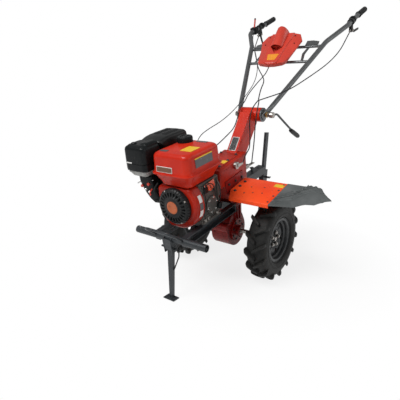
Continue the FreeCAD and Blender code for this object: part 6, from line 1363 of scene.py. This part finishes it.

# %% [markdown]
# ## Control cables
# Each cable of the model is in two stretches that part near the tilt axis. Here it is one whole
# cable: a NURBS spline has the model's points as its control points, and a circle is carried along
# the points read from it.
# %% Control cables
cable_points = {
    "clutch": ([
        (320, 925, 926), (312, 888, 890), (294, 838, 826), (256, 755, 766), (208, 610, 716),
        (158, 440, 668), (100, 345, 652), (62, 285, 642), (54, 279, 640), (48, 222, 606), (47, 196, 548),
        (48, 196, 474), (60, 168, 428), (82, 120, 420), (88.5, 74, 408), (88.5, 42.2, 374.2)
    ], 0.0029, "black_rubber"),
    "reverse": ([
        (-316, 995, 942), (-312, 950, 900), (-292, 880, 860), (-232, 790, 822), (-150, 665, 762),
        (-60, 560, 724), (16, 430, 716), (58, 310, 694), (70, 258, 648), (77.5, 254, 643),
        (80, 218, 590), (79, 196, 510), (74, 188, 430), (60, 190, 360), (54, 190, 320.5)
    ], 0.0029, "black_rubber"),
    "throttle": ([
        (-320, 924, 952), (-308, 890, 922), (-268, 830, 886), (-196, 730, 834), (-120, 610, 766),
        (-72, 480, 704), (-60, 350, 652), (-60, 306, 632), (-60, 299, 628), (-60, 240, 606),
        (-58, 160, 583), (-56, 70, 566), (-55, -30, 557), (-55, -108, 542), (-57, -144, 500),
        (-59, -152, 440), (-60, -160, 392), (-60, -192, 376)
    ], 0.0020, "black_plastic"),
    "stop": ([
        (-16, 559, 787.6), (-22, 532, 752), (-28, 496, 733), (-38, 420, 696), (-46, 352, 658),
        (-47, 322, 632), (-47, 317, 628), (-48, 266, 602), (-47, 236, 560), (-45, 188, 508),
        (-43, 106, 486), (-36, 24, 470), (-32, -60, 458), (-30, -124, 428), (-30, -150, 380),
        (-30, -192, 368)
    ], 0.0027, "black_rubber"),
}


def spline_points(name, corners):
    """Points of the NURBS spline whose control points are the corners, read from it as a mesh."""
    data = bpy.data.curves.new(name, "CURVE")
    data.dimensions = "3D"
    spline = data.splines.new("NURBS")
    spline.points.add(len(corners) - 1)
    spline.points.foreach_set("co", np.column_stack([corners, np.ones(len(corners))]).ravel())
    spline.order_u = 3
    spline.use_endpoint_u = True
    spline.resolution_u = 8
    holder = bpy.data.objects.new(name, data)
    mesh = bpy.data.meshes.new_from_object(holder)
    places = np.empty(len(mesh.vertices) * 3, np.float32)
    mesh.vertices.foreach_get("co", places)
    bpy.data.objects.remove(holder)
    bpy.data.meshes.remove(mesh)
    bpy.data.curves.remove(data)
    return places.reshape(-1, 3).astype(float)


for word, (corners, radius, finish) in cable_points.items():
    path = spline_points(f"{word}_route", np.array(corners, float) / 1000)
    cut = [node for node in frame["nodes"] if node.startswith((f"{word}_cable", f"{word}_wire"))]
    whole = add_tube(f"{word}_cable", carried(path, radius * circle(1.0, 12), (1.0, 0.0, 0.0)), None, finish,
                     replaces=cut)
    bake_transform(whole)
    print(word, "cable", round(float(np.linalg.norm(np.diff(path, axis=0), axis=1).sum()), 3), "m")

# %% [markdown]
# ## Labels and fasteners
# Every label is a blank sticker: a thin slab in its own direction on the face that carries it. The
# castings get their bolts where they are joined: the gearbox lid, the drive covers with their
# necks, and the fender brackets.
# %% Blank labels
face_run = unit(np.array([0.0, 0.162, 0.180]))
front_face = tank_low[1] + flange
near_side = tank_high[0] - flange
cleaner_corner = own_box("air_cleaner")[0]
labels = (
    ("tank_label_top", (0.052, -0.322, tank_high[2]),
     (1, 0, 0), (0, 1, 0), (0.030, 0.034), "label_yellow"),
    ("tank_label_corner", (-0.048, -0.378, tank_high[2] - 0.0004),
     (1, 0, 0), (0, 1, 0), (0.020, 0.010), "label_grey"),
    ("tank_label_rear", (0.030, -0.206, tank_high[2] - 0.0004),
     (1, 0, 0), (0, 1, 0), (0.030, 0.009), "label_grey"),
    ("tank_label_edge", (-0.024, front_face + 0.0018, 0.474),
     (1, 0, 0), (0, 0.06, 1), (0.0445, 0.0130), "label_white"),
    ("tank_label_front", (-0.024, front_face + 0.0014, 0.474),
     (1, 0, 0), (0, 0.06, 1), (0.0425, 0.0110), "label_brown"),
    ("tank_label_side", (near_side - 0.0022, -0.306, 0.498),
     (0, 1, 0), (-0.06, 0, 1), (0.062, 0.019), "label_grey"),
    ("tank_label_line", (near_side - 0.0030, -0.306, 0.5185),
     (0, 1, 0), (-0.06, 0, 1), (0.062, 0.0022), "label_yellow"),
    ("cleaner_label", (cleaner_corner[0] + 0.034, cleaner_corner[1] + 0.0006, 0.490),
     (1, 0, 0), (0, 0.04, 1), (0.016, 0.0030), "label_white"),
    ("gearbox_label", (0.036, -0.052, 0.4005),
     (1, 0, 0), (0, 1, 0.104), (0.014, 0.016), "label_yellow"),
    ("column_label_edge", (0.0, 0.1090, 0.4462),
     (1, 0, 0), face_run, (0.0205, 0.0395), "label_white"),
    ("column_label", (0.0, 0.1086, 0.4466),
     (1, 0, 0), face_run, (0.0180, 0.0370), "label_black"),
)
for name, centre, across, along, half, kind in labels:
    label = add_plate(name, centre, across, along, half, 0.002, 0.0012, "chassis", kind)
print("labels", len(labels))

# %% [markdown]
# Bolt heads show where castings and brackets are joined. Each set is one hexagon head copied to
# places in rows or on a circle, so a few numbers give them all.
# %% Bolts on the castings
lid_places = [(x, y, 0.384 + (0.140 + y) * 0.104 + 0.0070) for x in (-0.046, 0.046)
              for y in (-0.106, -0.030, 0.048)]
add_copies("lid_bolts", hex_bolt(0.0050, 0.0045), lid_places, (0, -0.104, 1), "chassis", "dark_steel")
angles = 2 * math.pi * np.arange(8) / 8 + 0.3
for side in (1, -1):
    word = "left" if side > 0 else "right"
    places = np.column_stack([np.full(8, 0.0618 * side), 0.0485 * np.cos(angles), 0.0485 * np.sin(angles)])
    add_copies(f"drive_bolts_{word}", hex_bolt(0.0044, 0.0040), places, (side, 0, 0),
               "chassis", "dark_steel")
    places = [(0.0575 * side, y, 0.1592) for y in (-0.040, 0.016, 0.072)]
    add_copies(f"neck_bolts_{word}", hex_bolt(0.0048, 0.0045), places, (0, 0, 1), "chassis", "dark_steel")
    add_copies(f"bracket_bolts_{word}", hex_bolt(0.0052, 0.0045),
               [(0.078 * side, y, 0.296) for y in (-0.080, -0.020, 0.040)], (side, 0, 0),
               "chassis", "dark_steel")
print("gearbox lid bolts", len(lid_places), "and drive cover bolts a side", len(angles))

# %% [markdown]
# ## Stage, light and camera
# The floor takes the machine's shadow, and what the camera sees of it fades to plain white away
# from the machine. Large soft lamps and a mid-grey sky give colours about as they are written.
# %% Stage, light and camera
scene = bpy.context.scene
floor_mesh = bpy.data.meshes.new("floor")
floor_mesh.from_pydata([(-40, -40, 0), (40, -40, 0), (40, 40, 0), (-40, 40, 0)], [], [(0, 1, 2, 3)])
floor = bpy.data.objects.new("floor", floor_mesh)
scene.collection.objects.link(floor)
paint = bpy.data.materials.new("floor_paint")
paint.use_nodes = True
tree = paint.node_tree
diffuse = tree.nodes["Principled BSDF"]
diffuse.inputs["Base Color"].default_value = (0.86, 0.86, 0.86, 1)
diffuse.inputs["Roughness"].default_value = 0.9
diffuse.inputs["Specular IOR Level"].default_value = 0.1
ray = tree.nodes.new("ShaderNodeLightPath")
seen = add_node(tree, "ShaderNodeMath", {"operation": "MAXIMUM"}, i0=ray.outputs["Is Camera Ray"],
                i1=ray.outputs["Is Glossy Ray"])
seen = add_node(tree, "ShaderNodeMath", {"operation": "MAXIMUM"}, i0=seen.outputs[0],
                i1=ray.outputs["Is Transmission Ray"])
place = tree.nodes.new("ShaderNodeTexCoord").outputs["Object"]
far = add_node(tree, "ShaderNodeVectorMath", {"operation": "LENGTH"}, i0=place).outputs["Value"]
share = stepped(tree, far, 0.35, 0.90, 0.80, 1.0)
amount = add_node(tree, "ShaderNodeMath", {"operation": "MULTIPLY"}, i0=seen.outputs[0], i1=share)
glow = tree.nodes.new("ShaderNodeEmission")
mix = tree.nodes.new("ShaderNodeMixShader")
tree.links.new(amount.outputs[0], mix.inputs[0])
tree.links.new(diffuse.outputs[0], mix.inputs[1])
tree.links.new(glow.outputs[0], mix.inputs[2])
tree.links.new(mix.outputs[0], tree.nodes["Material Output"].inputs["Surface"])
floor_mesh.materials.append(paint)

world = bpy.data.worlds.new("sky")
scene.world = world
world.use_nodes = True
tree = world.node_tree
sky = tree.nodes["Background"]
sky.inputs["Color"].default_value = (1, 1, 1, 1)
sky.inputs["Strength"].default_value = 0.32
plain = add_node(tree, "ShaderNodeBackground", Strength=1.0, Color=(1, 1, 1, 1))
ray = tree.nodes.new("ShaderNodeLightPath")
seen = add_node(tree, "ShaderNodeMath", {"operation": "MAXIMUM"}, i0=ray.outputs["Is Camera Ray"],
                i1=ray.outputs["Is Transmission Ray"])
mix = tree.nodes.new("ShaderNodeMixShader")
tree.links.new(seen.outputs[0], mix.inputs[0])
tree.links.new(sky.outputs[0], mix.inputs[1])
tree.links.new(plain.outputs[0], mix.inputs[2])
tree.links.new(mix.outputs[0], tree.nodes["World Output"].inputs["Surface"])


def add_lamp(name, place, target, size, power):
    """Square soft lamp at place, facing target."""
    lamp = bpy.data.lights.new(name, "AREA")
    lamp.shape = "SQUARE"
    lamp.size = size
    lamp.energy = power
    holder = bpy.data.objects.new(name, lamp)
    scene.collection.objects.link(holder)
    aim = np.asarray(target, float) - np.asarray(place, float)
    holder.location = place
    from_up = math.acos(-aim[2] / np.linalg.norm(aim))
    holder.rotation_euler = (from_up, 0.0, math.atan2(aim[1], aim[0]) - math.pi / 2)
    return holder


middle = (0.0, 0.0, 0.5)
add_lamp("key_lamp", (-0.6, -2.4, 3.2), middle, 1.6, 100)
add_lamp("side_lamp", (3.4, -0.6, 2.0), middle, 1.8, 17)
add_lamp("back_lamp", (2.6, 2.6, 2.8), middle, 2.0, 16)

scene.view_settings.view_transform = "Standard"
lens = bpy.data.cameras.new("camera")
lens.lens = 35.22
lens.sensor_width = 36
camera = bpy.data.objects.new("camera", lens)
camera.location = (1.094, -1.956, 0.9561)
camera.rotation_euler = (math.radians(90 - 16.115), 0.0, math.radians(36.81))
scene.collection.objects.link(camera)
scene.camera = camera
print("camera at", tuple(round(value, 3) for value in camera.location), "with a lens of",
      round(lens.lens, 2), "mm")
